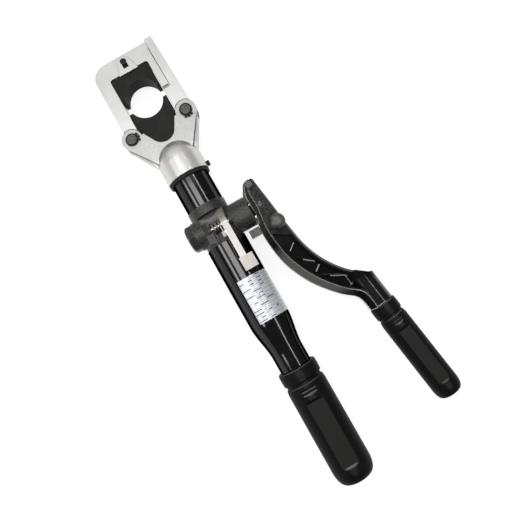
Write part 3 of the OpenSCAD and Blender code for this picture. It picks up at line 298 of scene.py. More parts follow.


def semiGlossBlackCasting():
    at = inMetres(leverPlaces)
    material, tree, shader, place = startMaterial("semiGlossBlackCasting",
                                                  {"Specular IOR Level": 0.04, "Coat Roughness": 0.13})
    sand = addNode(tree, "TexNoise", {"Scale": perMetre(1.8), "Detail": 5.0}, {"Vector": place})
    cloud = addNode(tree, "TexNoise", {"Scale": perMetre(12), "Detail": 4.0}, {"Vector": place})
    soft = addNode(tree, "Bevel", {"samples": 6, "Radius": 1.3 * mm})
    plain = addNode(tree, "NewGeometry")
    facing = addNode(tree, "VectorMath", {"operation": "DOT_PRODUCT"},
                     {0: soft.outputs[0], 1: plain.outputs["Normal"]})
    onEdge = addNode(tree, "MapRange", {"From Min": 0.996, "From Max": 0.95, "To Max": 0.95},
                   {"Value": facing.outputs["Value"]})
    local = addNode(tree, "VectorTransform",
                    {"vector_type": "NORMAL", "convert_from": "WORLD", "convert_to": "OBJECT"},
                    {0: soft.outputs[0]})
    handSide = addNode(tree, "VectorMath", {"operation": "DOT_PRODUCT", 1: litSides["hand"]},
                       {0: local.outputs[0]})
    edgeSide = addNode(tree, "MapRange", {"From Min": 0.2, "From Max": 0.55},
                       {"Value": handSide.outputs["Value"]})
    split = addNode(tree, "SeparateXYZ", None, {0: place})
    elbow = addNode(tree, "MapRange", {"From Min": at["elbow"][0], "From Max": at["elbow"][1]},
                    {"Value": split.outputs[1]})
    ridge = addNode(tree, "MapRange", {"From Min": 0.02, "From Max": 0.2},
                    {"Value": handSide.outputs["Value"]})
    elbowRidge = addNode(tree, "Math", {"operation": "MULTIPLY"}, {0: elbow.outputs[0], 1: ridge.outputs[0]})
    lit = addNode(tree, "Math", {"operation": "MAXIMUM"}, {0: edgeSide.outputs[0], 1: elbowRidge.outputs[0]})
    flatPlace = addNode(tree, "CombineXYZ", None, {0: split.outputs[0], 1: split.outputs[1]})
    across = addNode(tree, "VectorMath", {"operation": "DISTANCE", 1: at["bend"]},
                     {0: flatPlace.outputs[0]})  # from the centre of the beam's bend
    atRim = addNode(tree, "MapRange", {"From Min": at["rim"][0], "From Max": at["rim"][1]},
                    {"Value": across.outputs["Value"]})  # only the rim that faces the tube gets the painted highlight
    pastRecess = addNode(tree, "MapRange", {"From Min": at["shank"][0], "From Max": at["shank"][1]},
                         {"Value": split.outputs[0]})
    shank = addNode(tree, "Math", {"operation": "MULTIPLY"}, {0: elbow.outputs[0], 1: pastRecess.outputs[0]})
    outside = addNode(tree, "Math", {"operation": "MAXIMUM"}, {0: atRim.outputs[0], 1: shank.outputs[0]})
    litRim = addNode(tree, "Math", {"operation": "MULTIPLY"}, {0: lit.outputs[0], 1: outside.outputs[0]})
    ribSide = addNode(tree, "VectorMath", {"operation": "DOT_PRODUCT", 1: litSides["rib"]},
                      {0: local.outputs[0]})
    steepRib = addNode(tree, "MapRange", {"From Min": 0.15, "From Max": 0.45},
                       {"Value": ribSide.outputs["Value"]})
    steepSpan = addNode(tree, "Math", {"operation": "COMPARE", 1: at["steepRib"][0], 2: at["steepRib"][1]},
                        {0: across.outputs["Value"]})  # each rib gets a painted highlight over the middle of its length
    flatSpan = addNode(tree, "Math", {"operation": "COMPARE", 1: at["flatRib"][0], 2: at["flatRib"][1]},
                       {0: across.outputs["Value"]})
    steepRibLight = addNode(tree, "Math", {"operation": "MULTIPLY"},
                        {0: steepRib.outputs[0], 1: steepSpan.outputs[0]})
    flatRibLight = addNode(tree, "Math", {"operation": "MULTIPLY"},
                       {0: edgeSide.outputs[0], 1: flatSpan.outputs[0]})
    anyRib = addNode(tree, "Math", {"operation": "MAXIMUM"},
                     {0: flatRibLight.outputs[0], 1: steepRibLight.outputs[0]})
    recess = addNode(tree, "MapRange", {"From Min": at["recess"][0], "From Max": at["recess"][1]},
                     {"Value": split.outputs[0]})
    ribbed = addNode(tree, "MapRange", {"From Min": at["ribs"][0], "From Max": at["ribs"][1]},
                     {"Value": split.outputs[1]})
    ribHere = addNode(tree, "Math", {"operation": "MULTIPLY"}, {0: recess.outputs[0], 1: ribbed.outputs[0]})
    litRib = addNode(tree, "Math", {"operation": "MULTIPLY"}, {0: anyRib.outputs[0], 1: ribHere.outputs[0]})
    litHere = addNode(tree, "Math", {"operation": "MAXIMUM"}, {0: litRim.outputs[0], 1: litRib.outputs[0]})
    bright = addNode(tree, "Math", {"operation": "MULTIPLY"}, {0: onEdge.outputs[0], 1: litHere.outputs[0]})
    forked = addNode(tree, "MapRange",
                     {"From Min": at["fork"][0], "From Max": at["fork"][1], "To Max": 0.85},
                     {"Value": split.outputs[1]})  # the fork end is left rough and given a paler painted sheen, the beam is smoothed by fettling
    dark = addNode(tree, "Mix", {"data_type": "RGBA", 6: linear("#070708"), 7: linear("#121212")},
                   {0: cloud.outputs[0]})
    pebble = addNode(tree, "MapRange", {"From Min": 0.36, "From Max": 0.66}, {"Value": sand.outputs[0]})
    grey = addNode(tree, "Mix", {"data_type": "RGBA", 6: linear("#1f1f1f"), 7: linear("#494847")},
                   {0: pebble.outputs[0]})
    tone = addNode(tree, "Mix", {"data_type": "RGBA"},
                   {0: forked.outputs[0], 6: dark.outputs[2], 7: grey.outputs[2]})
    # painted light: the lamp-facing flank of the beam, between the ground and elbow places, is lightened to
    # #7a7977
    litFlank = addNode(tree, "MapRange", {"From Min": 0.55, "From Max": 0.85, "To Max": 0.9},
                    {"Value": handSide.outputs["Value"]})
    beam = addNode(tree, "MapRange", {"From Min": at["ground"][0], "From Max": at["ground"][1]},
                   {"Value": split.outputs[1]})
    whole = addNode(tree, "Math", {"operation": "SUBTRACT", "use_clamp": True},
                    {0: beam.outputs[0], 1: elbow.outputs[0]})
    outerFlank = addNode(tree, "MapRange", {"From Min": at["litFlank"][0], "From Max": at["litFlank"][1]},
                       {"Value": across.outputs["Value"]})
    ground = addNode(tree, "Math", {"operation": "MULTIPLY"}, {0: litFlank.outputs[0], 1: whole.outputs[0]})
    flankLight = addNode(tree, "Math", {"operation": "MULTIPLY"}, {0: ground.outputs[0], 1: outerFlank.outputs[0]})
    flankLit = addNode(tree, "Mix", {"data_type": "RGBA", 7: linear("#7a7977")},
                      {0: flankLight.outputs[0], 6: tone.outputs[2]})  # painted light on the beam's outer flank that faces the lamps
    # painted highlight: lamp-facing edges of the rim, the elbow's ridge and the ribs' middles are lightened
    # to #d4d3cf
    lightened = addNode(tree, "Mix", {"data_type": "RGBA", 7: linear("#d4d3cf")},
                     {0: bright.outputs[0], 6: flankLit.outputs[2]})
    rough = addNode(tree, "MapRange", {"To Min": 0.34, "To Max": 0.5}, {"Value": forked.outputs[0]})
    relief = addNode(tree, "MapRange", {"To Min": 0.1, "To Max": 0.8}, {"Value": forked.outputs[0]})
    bump = addNode(tree, "Bump", {"Distance": 0.18 * mm},
                   {"Strength": relief.outputs[0], "Height": sand.outputs[0]})
    intoShader(tree, shader, {"Base Color": lightened.outputs[2], "Roughness": rough.outputs[0],
                              "Coat Weight": elbow.outputs[0],  # the elbow is polished by the hand
                              "Normal": bump.outputs[0]})
    return material


# Pressed steel, nickel plated and buffed: warm white metal with faint scuffs
releasePlaces = {"paddle": (-194.2, -195), "bar": (-194,), "shadeNearPivot": (-158, -150),  # mm by y
                 "nib": (5.8, 5.4)}  # by x


def buffedNickel():
    at = inMetres(releasePlaces)
    material, tree, shader, place = startMaterial("buffedNickel", {"Metallic": 1.0})
    cloud = addNode(tree, "TexNoise", {"Scale": perMetre(7), "Detail": 5.0}, {"Vector": place})
    scuff = addNode(tree, "TexNoise", {"Scale": perMetre(0.8), "Detail": 3.0}, {"Vector": place})
    split = addNode(tree, "SeparateXYZ", None, {0: place})
    paddle = addNode(tree, "MapRange", {"From Min": at["paddle"][0], "From Max": at["paddle"][1]},
                     {"Value": split.outputs[1]})  # the paddle is left as pressed, the bar is buffed
    bar = addNode(tree, "Mix", {"data_type": "RGBA", 6: linear("#dcd9d3"), 7: linear("#efede8")},
                  {0: cloud.outputs[0]})
    pressed = addNode(tree, "Mix", {"data_type": "RGBA", 6: linear("#7f7a75"), 7: linear("#aea9a3")},
                      {0: scuff.outputs[0]})
    clean = addNode(tree, "Mix", {"data_type": "RGBA"},
                    {0: paddle.outputs[0], 6: bar.outputs[2], 7: pressed.outputs[2]})
    pivotShade = addNode(tree, "MapRange", {"From Min": at["shadeNearPivot"][0], "From Max": at["shadeNearPivot"][1], "To Max": 0.85},
                    {"Value": split.outputs[1]})  # painted shade towards the pivot
    # and darker along the bar's left edge above the paddle
    nib = addNode(tree, "MapRange", {"From Min": at["nib"][0], "From Max": at["nib"][1], "To Max": 0.85},
                  {"Value": split.outputs[0]})
    high = addNode(tree, "Math", {"operation": "GREATER_THAN", 1: at["bar"][0]}, {0: split.outputs[1]})
    nibHigh = addNode(tree, "Math", {"operation": "MULTIPLY"}, {0: nib.outputs[0], 1: high.outputs[0]})
    darkened = addNode(tree, "Math", {"operation": "MAXIMUM"}, {0: pivotShade.outputs[0], 1: nibHigh.outputs[0]})
    tone = addNode(tree, "Mix", {"data_type": "RGBA", 7: linear("#6d655b")},
                   {0: darkened.outputs[0], 6: clean.outputs[2]})
    rough = addNode(tree, "MapRange", {"To Min": 0.3, "To Max": 0.5}, {"Value": cloud.outputs[0]})
    bump = addNode(tree, "Bump", {"Strength": 0.1, "Distance": 0.05 * mm}, {"Height": scuff.outputs[0]})
    intoShader(tree, shader, {"Base Color": tone.outputs[2], "Roughness": rough.outputs[0],
                              "Normal": bump.outputs[0]})
    return material


# Zinc-plated steel gone dull: mid grey, cloudy, with soft lights on its rounded edges
def dullZinc():
    material, tree, shader, place = startMaterial("dullZinc", {"Metallic": 0.6})
    cloud = addNode(tree, "TexNoise", {"Scale": perMetre(6), "Detail": 4.0}, {"Vector": place})
    patch = addNode(tree, "MapRange", {"From Min": 0.35, "From Max": 0.65}, {"Value": cloud.outputs[0]})
    tone = addNode(tree, "Mix", {"data_type": "RGBA", 6: linear("#3f3e3d"), 7: linear("#5b5a58")},
                   {0: patch.outputs[0]})
    rough = addNode(tree, "MapRange", {"To Min": 0.34, "To Max": 0.55}, {"Value": cloud.outputs[0]})
    bump = addNode(tree, "Bump", {"Strength": 0.15, "Distance": 0.1 * mm}, {"Height": cloud.outputs[0]})
    intoShader(tree, shader, {"Base Color": tone.outputs[2], "Roughness": rough.outputs[0],
                              "Normal": bump.outputs[0]})
    return material


# Phosphated pin with a faced end: dark grey with paler cloudy patches
def phosphatedPin():
    material, tree, shader, place = startMaterial("phosphatedPin", {"Metallic": 0.4})
    cloud = addNode(tree, "TexNoise", {"Scale": perMetre(1.6), "Detail": 5.0}, {"Vector": place})
    patch = addNode(tree, "MapRange", {"From Min": 0.35, "From Max": 0.65}, {"Value": cloud.outputs[0]})
    tone = addNode(tree, "Mix", {"data_type": "RGBA", 6: linear("#343433"), 7: linear("#676663")},
                   {0: patch.outputs[0]})
    rough = addNode(tree, "MapRange", {"To Min": 0.4, "To Max": 0.6}, {"Value": cloud.outputs[0]})
    intoShader(tree, shader, {"Base Color": tone.outputs[2], "Roughness": rough.outputs[0]})
    return material


# Finishes with one even pattern, its size in millimetres
evenFinishes = {
    # Ground steel of ram, valves and plugs: bright, with fine marks from the wheel
    "groundSteel": {"sockets": {"Metallic": 1.0}, "grain": 0.7, "detail": 2.0,
                    "tones": ("#a9a9a8", "#c8c8c6"), "rough": (0.18, 0.34)},
    # Drawn spring wire: bright with a slight straw tone and fine uneven marks
    "drawnWire": {"sockets": {"Metallic": 1.0}, "grain": 0.5, "detail": 2.0,
                  "tones": ("#807d76", "#b3afa7"), "rough": (0.3, 0.45)},
    # Moulded rubber of seals and bladder: plain oily black-brown, smooth from the mould
    "sealRubber": {"sockets": {}, "grain": 5, "detail": 3.0,
                   "tones": ("#141210", "#2a241f"), "rough": (0.35, 0.5)},
    # Turned bronze of bush and filter: warm yellow-brown, slightly dull
    "turnedBronze": {"sockets": {"Metallic": 1.0}, "grain": 1, "detail": 3.0,
                     "tones": ("#8f6c3a", "#b08d57"), "rough": (0.28, 0.42)}}


def evenFinish(name):
    look = evenFinishes[name]
    dark, pale = look["tones"]
    material, tree, shader, place = startMaterial(name, look["sockets"])
    grain = addNode(tree, "TexNoise", {"Scale": perMetre(look["grain"]), "Detail": look["detail"]},
                    {"Vector": place})
    tone = addNode(tree, "Mix", {"data_type": "RGBA", 6: linear(dark), 7: linear(pale)},
                   {0: grain.outputs[0]})
    rough = addNode(tree, "MapRange", {"To Min": look["rough"][0], "To Max": look["rough"][1]},
                    {"Value": grain.outputs[0]})
    intoShader(tree, shader, {"Base Color": tone.outputs[2], "Roughness": rough.outputs[0]})
    return material


# Moulded nitrile rubber: soft black, a fine eroded mould grain, dust on the flats and painted highlights on
# the slopes toward the head
def mouldedRubber():
    material, tree, shader, place = startMaterial("mouldedRubber", {"Specular IOR Level": 0.11})
    grain = addNode(tree, "TexVoronoi", {"Scale": perMetre(0.9)},
                    {"Vector": place})  # finer in life, drawn coarser to show
    cloud = addNode(tree, "TexNoise", {"Scale": perMetre(16), "Detail": 4.0}, {"Vector": place})
    black = addNode(tree, "Mix", {"data_type": "RGBA", 6: linear("#080808"), 7: linear("#101010")},
                    {0: cloud.outputs[0]})
    facing = addNode(tree, "TexCoord")
    split = addNode(tree, "SeparateXYZ", None, {0: facing.outputs["Normal"]})
    flat = addNode(tree, "MapRange", {"From Min": 0.975, "From Max": 0.996}, {"Value": split.outputs[2]})
    dusty = addNode(tree, "Mix", {"data_type": "RGBA", 7: linear("#232322")},
                    {0: flat.outputs[0], 6: black.outputs[2]})  # dust stays on the flats
    slope = addNode(tree, "MapRange", {"From Min": 0.3, "From Max": 0.7}, {"Value": split.outputs[1]})
    front = addNode(tree, "MapRange", {"From Min": 0.4, "From Max": 0.72}, {"Value": split.outputs[2]})
    lightened = addNode(tree, "Math", {"operation": "MULTIPLY"}, {0: slope.outputs[0], 1: front.outputs[0]})
    tone = addNode(tree, "Mix", {"data_type": "RGBA", 7: linear("#626160")},
                   {0: lightened.outputs[0], 6: dusty.outputs[2]})  # painted highlight on the slopes toward the head
    rough = addNode(tree, "MapRange", {"To Min": 0.46, "To Max": 0.62}, {"Value": cloud.outputs[0]})
    bump = addNode(tree, "Bump", {"Strength": 0.14, "Distance": 0.08 * mm}, {"Height": grain.outputs[0]})
    intoShader(tree, shader, {"Base Color": tone.outputs[2], "Roughness": rough.outputs[0],
                              "Normal": bump.outputs[0]})
    return material


# Satin aluminium foil, printed with a bare ruled table: pale silver, thin grey rules
labelPrint = {"row": 3.6, "cell": 9, "rule": 0.13, "inked": 0.5, "bar": (0.55, 0.13),
              "table": (2, 14)}  # row, cell and table in mm, rule and bar as shares of a row


def ruledFoil():
    k = labelPrint
    material, tree, shader, place = startMaterial("ruledFoil", {"Metallic": 0.4})
    split = addNode(tree, "SeparateXYZ", None, {0: place})
    ripple = addNode(tree, "TexNoise", {"Scale": perMetre(3), "Detail": 3.0}, {"Vector": place})
    rows = addNode(tree, "Math", {"operation": "MULTIPLY", 1: perMetre(k["row"])}, {0: split.outputs[1]})
    part = addNode(tree, "Math", {"operation": "FRACT"}, {0: rows.outputs[0]})
    rule = addNode(tree, "Math", {"operation": "LESS_THAN", 1: k["rule"]}, {0: part.outputs[0]})
    row = addNode(tree, "Math", {"operation": "FLOOR"}, {0: rows.outputs[0]})
    across = addNode(tree, "Math", {"operation": "MULTIPLY", 1: perMetre(k["cell"])}, {0: split.outputs[0]})
    cell = addNode(tree, "CombineXYZ", None, {0: across.outputs[0], 1: row.outputs[0]})
    broken = addNode(tree, "TexNoise", {"Scale": 1.0, "Detail": 0.0}, {"Vector": cell.outputs[0]})
    inked = addNode(tree, "Math", {"operation": "GREATER_THAN", 1: k["inked"]}, {0: broken.outputs[0]})
    band = addNode(tree, "Math", {"operation": "COMPARE", 1: k["bar"][0], 2: k["bar"][1]},
                   {0: part.outputs[0]})
    inside = addNode(tree, "Math", {"operation": "COMPARE", 1: k["table"][0] * mm, 2: k["table"][1] * mm},
                     {0: split.outputs[0]})
    bar = addNode(tree, "Math", {"operation": "MULTIPLY"}, {0: inked.outputs[0], 1: band.outputs[0]})
    printedBar = addNode(tree, "Math", {"operation": "MULTIPLY"}, {0: bar.outputs[0], 1: inside.outputs[0]})
    foil = addNode(tree, "Mix", {"data_type": "RGBA", 6: linear("#c6cad1"), 7: linear("#dcdee2")},
                   {0: ripple.outputs[0]})
    ruled = addNode(tree, "Mix", {"data_type": "RGBA", 7: linear("#a9adb2")},
                    {0: rule.outputs[0], 6: foil.outputs[2]})
    printed = addNode(tree, "Mix", {"data_type": "RGBA", 7: linear("#484b50")},
                      {0: printedBar.outputs[0], 6: ruled.outputs[2]})
    rough = addNode(tree, "MapRange", {"To Min": 0.3, "To Max": 0.42}, {"Value": ripple.outputs[0]})
    intoShader(tree, shader, {"Base Color": printed.outputs[2], "Roughness": rough.outputs[0]})
    return material


nickelSteel, forgedSteel, oxideSteel = satinNickelSteel(), blastedForgedSteel(), blackOxideSteel()
blackPaint, castIron, leverPaint = glossBlackPaint(), paintedCastIron(), semiGlossBlackCasting()
nickel, ground, wire = buffedNickel(), evenFinish("groundSteel"), evenFinish("drawnWire")
rubber, seals, bronze = mouldedRubber(), evenFinish("sealRubber"), evenFinish("turnedBronze")
foil, zinc, pinSteel = ruledFoil(), dullZinc(), phosphatedPin()
print("materials made:", len(bpy.data.materials))

bodyOf = {node: body for body, nodes in frame["record"]["behaviour"]["bodies"].items() for node in nodes}


def finishPiece(name, bm, material, node, smooth=35, twist=None):  # mesh to object, moving as its node does; given twist, it is only fixed where it stands
    mesh = bpy.data.meshes.new(name)
    bmesh.ops.recalc_face_normals(bm, faces=bm.faces)
    for face in bm.faces:
        face.smooth = True
    bm.to_mesh(mesh)
    bm.free()
    mesh.set_sharp_from_angle(angle=radians(smooth))
    mesh.materials.append(material)
    piece = bpy.data.objects.new(name, mesh)
    scene.collection.objects.link(piece)
    weighted = piece.modifiers.new("flatFaces", "WEIGHTED_NORMAL")
    weighted.keep_sharp = True
    if twist:
        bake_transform(piece)
    else:
        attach(piece, bodyOf[node])
    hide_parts(node)
    return piece


# Hard pieces: the solid's own shape with its edges broken, each by its width in mm
hardPieces = {
    "head_fork": ("headFork", 0.5, forgedSteel), "yoke": ("yokeArm", 0.5, nickelSteel),
    "latch_bar": ("latchBar", 0.5, nickelSteel), "upper_die": ("upperDie", 0.4, oxideSteel),
    "lower_die": ("lowerDie", 0.4, oxideSteel), "yoke_pin": ("yokePin", 0.6, pinSteel),
    "latch_pin": ("latchPin", 0.6, pinSteel), "die_lock_pin": ("dieLockPin", 0.2, oxideSteel),
    "swivel_ring": ("swivelRing", 0.5, oxideSteel), "neck_screw": ("neckScrew", 0.4, oxideSteel),
    "cylinder": ("cylinderBarrel", 0.4, blackPaint), "pump_body": ("pumpBody", 0.7, castIron),
    "relief_plug": ("reliefPlug", 1.2, castIron), "release_lever": ("releaseLever", 1.2, nickel),
    "handle_lever": ("handleLever", 0.6, leverPaint), "handle_bolt": ("handleBolt", 0.5, zinc),
    "handle_nut": ("handleNut", 0.4, castIron), "stop_pad": ("stopPad", 0.6, zinc),
    "fulcrum_pin": ("fulcrumPin", 0.5, pinSteel), "plunger_pin": ("plungerPin", 0.5, zinc),
    "pump_plunger": ("pumpPlunger", 0.4, oxideSteel), "release_pivot": ("releasePivot", 0.3, ground),
    "ram": ("ramPiston", 0.3, ground), "pump_gland": ("pumpGland", 0.3, oxideSteel)}
brokenEdge = {"flat": 0.5, "sharp": 32, "segments": 2, "profile": 0.6}  # angles in degrees

for node, (name, widthMm, material) in hardPieces.items():
    bm = bmesh.new()
    bm.from_mesh(frame["nodes"][node].data)
    bmesh.ops.remove_doubles(bm, verts=bm.verts, dist=weld)
    bmesh.ops.dissolve_limit(bm, angle_limit=radians(brokenEdge["flat"]), verts=bm.verts, edges=bm.edges)
    corners = [e for e in bm.edges
               if len(e.link_faces) == 2 and e.calc_face_angle(0) > radians(brokenEdge["sharp"])]
    bmesh.ops.bevel(bm, geom=corners, offset=widthMm * mm, offset_type="OFFSET",
                    segments=brokenEdge["segments"], profile=brokenEdge["profile"],
                    affect="EDGES", clamp_overlap=True)
    finishPiece(name, bm, material, node)
print("hard pieces:", len(hardPieces))

plainNodes = {"piston_seal": seals, "guide_bush": bronze, "cylinder_seal": seals,
              "die_stud": ground, "relief_poppet": ground, "plunger_seal": seals, "delivery_ball": ground,
              "delivery_plug": ground, "suction_ball": ground, "suction_seat": ground, "release_pin": ground,
              "release_ball": ground, "release_plug": ground, "oil_bladder": seals, "oil_filter": bronze,
              "reservoir_cap": ground, "label_plate": foil}
for node, material in plainNodes.items():
    data = frame["nodes"][node].data
    data.materials.clear()
    data.materials.append(material)
print("plain nodes:", len(plainNodes))


def turnedSkin(bm, profile, count, place, shift=None):  # [radius, along] points round the local Y axis
    rings = []
    for radius, along in profile:
        if radius == 0:
            rings.append([bm.verts.new(place @ Vector((0, along, 0)))])
            continue
        ring = []
        for k in range(count):
            a = 2 * pi * k / count
            point = Vector((radius * sin(a), along, radius * cos(a)))
            ring.append(bm.verts.new(place @ (shift(point) if shift else point)))
        rings.append(ring)
    for low, high in zip(rings, rings[1:]):
        for k in range(count):
            a, b = k, (k + 1) % count
            if len(low) == 1 and len(high) == 1:
                continue
            if len(low) == 1:
                bm.faces.new((low[0], high[b], high[a]))
            elif len(high) == 1:
                bm.faces.new((low[a], low[b], high[0]))
            else:
                bm.faces.new((low[a], low[b], high[b], high[a]))


def rounded(points, radius, steps):  # profile with each inner corner turned into an arc
    most = 0.45  # share of a side that one arc may take
    out = [points[0]]
    for before, corner, after in zip(points, points[1:], points[2:]):
        p, c, q = Vector(before), Vector(corner), Vector(after)
        reach = min(radius, (p - c).length * most, (q - c).length * most)
        a, b = c + (p - c).normalized() * reach, c + (q - c).normalized() * reach
        for i in range(steps + 1):
            s = i / steps
            out.append(tuple((1 - s) ** 2 * a + 2 * s * (1 - s) * c + s * s * b))
    return out + [points[-1]]


def softStep(x):
    x = min(max(x, 0), 1)
    return x * x * (3 - 2 * x)


# Retaining clips: a split ring in the pin's groove with three teeth at its mouth
clipShape = {"inner": 4.25, "outer": 6.5, "tooth": 2.0, "teeth": (-26, 0, 26), "toothHalf": 8,
             "slit": (10, 15), "innerStep": 3, "low": 11.04, "high": 11.97,
             "pins": ((-31, -35, 0), (31, -35, -90)), "smooth": 30}  # mm and degrees
c = clipShape
bm = bmesh.new()
for x, y, facing in c["pins"]:
    for side in (1, -1):
        outline = []
        for a in range(c["slit"][1], c["slit"][0] + 360 + 1):
            near = min(abs((a - tooth + 180) % 360 - 180) for tooth in c["teeth"])
            outline.append((a, c["outer"] + (c["tooth"] if near <= c["toothHalf"] else 0)))
        outline += [(a, c["inner"]) for a in range(c["slit"][0] + 360, c["slit"][1] - 1, -c["innerStep"])]
        flat = [(x + r * cos(radians(a + facing)), y + r * sin(radians(a + facing))) for a, r in outline]
        rims = [[bm.verts.new(Vector((px, py, side * z)) * mm) for px, py in flat]
                for z in (c["low"], c["high"])]
        for k in range(len(flat)):
            n = (k + 1) % len(flat)
            bm.faces.new((rims[0][k], rims[0][n], rims[1][n], rims[1][k]))
        for rim in rims:
            bm.faces.new(rim)
finishPiece("pinClips", bm, oxideSteel, "pin_clips", c["smooth"])
print("retaining clips cut")

# Reservoir tube: straight barrel, a bottle-neck taper and the hidden stem under the grip
tubeShape = {"radius": 21, "inner": 18, "wrist": 16.3, "stem": 15, "narrow": 13, "top": -172,
             "straight": -266, "taper": -291.5, "grip": -311.4, "end": -422.4,
             "shoulder": 10, "swellFrom": 8, "stretch": 12, "past": 6,  # outside, from the bore's taper
             "round": 0.8, "roundSteps": 3, "swellSteps": 16, "facets": 96, "smooth": 30}
t = tubeShape
swellTop = t["straight"] + t["swellFrom"]
swellLength = t["taper"] - t["straight"] - t["stretch"]
outer = [(t["inner"], t["top"]), (t["radius"], t["top"]), (t["radius"], t["straight"] + t["shoulder"])]
for i in range(1, t["swellSteps"]):
    s = i / t["swellSteps"]
    outer.append((t["radius"] - (t["radius"] - t["wrist"]) * softStep(s), swellTop + swellLength * s))
profile = rounded(outer + [(t["wrist"], t["taper"] - t["past"]), (t["wrist"], t["grip"]),
                           (t["stem"], t["grip"]), (t["stem"], t["end"]), (t["narrow"], t["end"]),
                           (t["narrow"], t["taper"]), (t["inner"], t["straight"]), (t["inner"], t["top"])],
                  t["round"], t["roundSteps"])
bm = bmesh.new()
turnedSkin(bm, [(r * mm, y * mm) for r, y in profile], t["facets"], Matrix.Identity(4))
bmesh.ops.remove_doubles(bm, verts=bm.verts, dist=weld)
finishPiece("reservoirTube", bm, blackPaint, "reservoir_tube", t["smooth"])
print("reservoir tube turned")

# Rubber grips: collar, groove, body with two sunk flats and a full round end
gripShapes = {
    "fixed_grip": {"name": "fixedGrip", "at": (0, tubeShape["grip"], 0), "lean": 0, "radius": 20.2,
                   "length": 119.5, "collar": 13, "groove": 4.1, "sunk": 1.9, "bore": 15.02,
                   "boreEnd": 115.3, "round": 15, "tip": 12.5, "panel": 2.1,
                   "flats": ((18.5, 28.5), (31.5, 103.5)), "ridge": 1.1, "ridges": 3},
    "moving_grip": {"name": "movingGrip", "at": (103.688, -299.3, 0), "lean": 7.7, "radius": 13.84,
                    "length": 107, "collar": 12.7, "groove": 3.2, "sunk": 1.4, "bore": 8.52,
                    "boreEnd": 98.3, "round": 10.5, "tip": 9, "panel": 1.5,
                    "flats": ((17, 25.5), (28, 93)), "ridge": 0.8, "ridges": 3}}
gripMould = {"crown": 0.3, "wall": 0.4, "edge": 0.7, "rise": (0.2, 3), "bodyFrom": 4, "step": 0.9,
             "round": 1.6, "roundSteps": 4, "endSteps": 15, "endPower": 0.8, "endFlat": 0.6, "slope": 2.5,
             "facets": 120, "smooth": 40}  # what both grips share
m = gripMould
for node, g in gripShapes.items():
    r, length = g["radius"], g["length"]
    groove, body = g["collar"], g["collar"] + g["groove"]
    skin = [(g["bore"], 0), (r - m["crown"], 0), (r, groove / 2), (r - m["crown"], groove),
            (r - g["sunk"], groove + m["wall"]), (r - g["sunk"], body - m["wall"]), (r - m["edge"], body),
            (r - m["rise"][0], body + m["rise"][1])]
    skin = rounded(skin, m["round"], m["roundSteps"])
    y = body + m["bodyFrom"]
    while y < length - g["round"]:
        skin.append((r, y))
        y += m["step"]
    for i in range(m["endSteps"]):  # full round end
        a = i / m["endSteps"] * pi / 2
        around = g["tip"] + (r - g["tip"]) * cos(a) ** m["endPower"]
        skin.append((around, length - g["round"] + g["round"] * sin(a)))
    skin = [(0, g["boreEnd"]), (g["bore"], g["boreEnd"])] + skin
    skin += [(g["tip"] * m["endFlat"], length), (0, length)]

    def sunkFlat(point, g=g, r=r):  # flats facing the front, with sloped ends and ridges in the first
        s = -point.y / mm
        drop = max(softStep((s - a) / m["slope"]) * softStep((b - s) / m["slope"]) for a, b in g["flats"])
        top = r - g["panel"] * drop
        a, b = g["flats"][0]
        if a < s < b:
            top += g["ridge"] * (1 - cos(2 * pi * g["ridges"] * (s - a) / (b - a))) / 2
        if point.z > top * mm and drop > 0:
            point = Vector((point.x, point.y, top * mm))
        return point

    place = Matrix.Translation(Vector(g["at"]) * mm) @ Matrix.Rotation(radians(g["lean"]), 4, "Z")
    bm = bmesh.new()
    turnedSkin(bm, [(a * mm, -b * mm) for a, b in skin], m["facets"], place, sunkFlat)
    finishPiece(g["name"], bm, rubber, node, m["smooth"])
print("grips moulded")


def wireAlong(name, points, radius, node, twist=None, count=10):  # round wire through the points
    bm = bmesh.new()
    angles = [2 * pi * k / count for k in range(count)]
    rings = []
    across = None
    for i, p in enumerate(points):
        t = (points[min(i + 1, len(points) - 1)] - points[max(i - 1, 0)]).normalized()
        u = across - across.dot(t) * t if across else t.orthogonal()
        across = u.normalized()
        v = t.cross(across)
        rings.append([bm.verts.new(p + radius * (cos(a) * across + sin(a) * v)) for a in angles])
    for low, high in zip(rings, rings[1:]):
        for k in range(count):
            bm.faces.new((low[k], low[(k + 1) % count], high[(k + 1) % count], high[k]))
    bm.faces.new(rings[0])
    bm.faces.new(rings[-1])
    return finishPiece(name, bm, wire, node, twist=twist)


# Release spring: torsion coil on the pivot with two legs down the tool
releaseCoil = {"start": -4.7, "pitch": 3.4, "turns": 2.5, "perTurn": 24, "radius": 4.8, "wire": 0.9,
               "pivot": (-156, 17), "leg": 10, "bodyLeg": 13}
c = releaseCoil
steps = int(c["turns"] * c["perTurn"])
coil = []
for i in range(steps + 1):
    a = radians(-90 + 360 * i / c["perTurn"])
    coil.append(Vector((c["start"] + c["turns"] * c["pitch"] * i / steps,
                        c["pivot"][0] + c["radius"] * cos(a), c["pivot"][1] + c["radius"] * sin(a))))
near = Vector((0, -2 * c["wire"], 0))
path = [coil[0] + Vector((0, -c["bodyLeg"], 0)), coil[0] + near] + coil
path += [coil[-1] + near, coil[-1] + Vector((0, -c["leg"], 0))]
lastX = c["start"] + c["turns"] * c["pitch"]
wound = {"bodies": ("body", "release"), "start": ((c["start"] + c["wire"]) * mm, 0, 0),
         "end": ((lastX - c["wire"]) * mm, 0, 0)}  # only tells finishPiece to leave the spring fixed where it is wound
wireAlong("releaseSpring", [p * mm for p in path], c["wire"] * mm, "release_spring", wound)
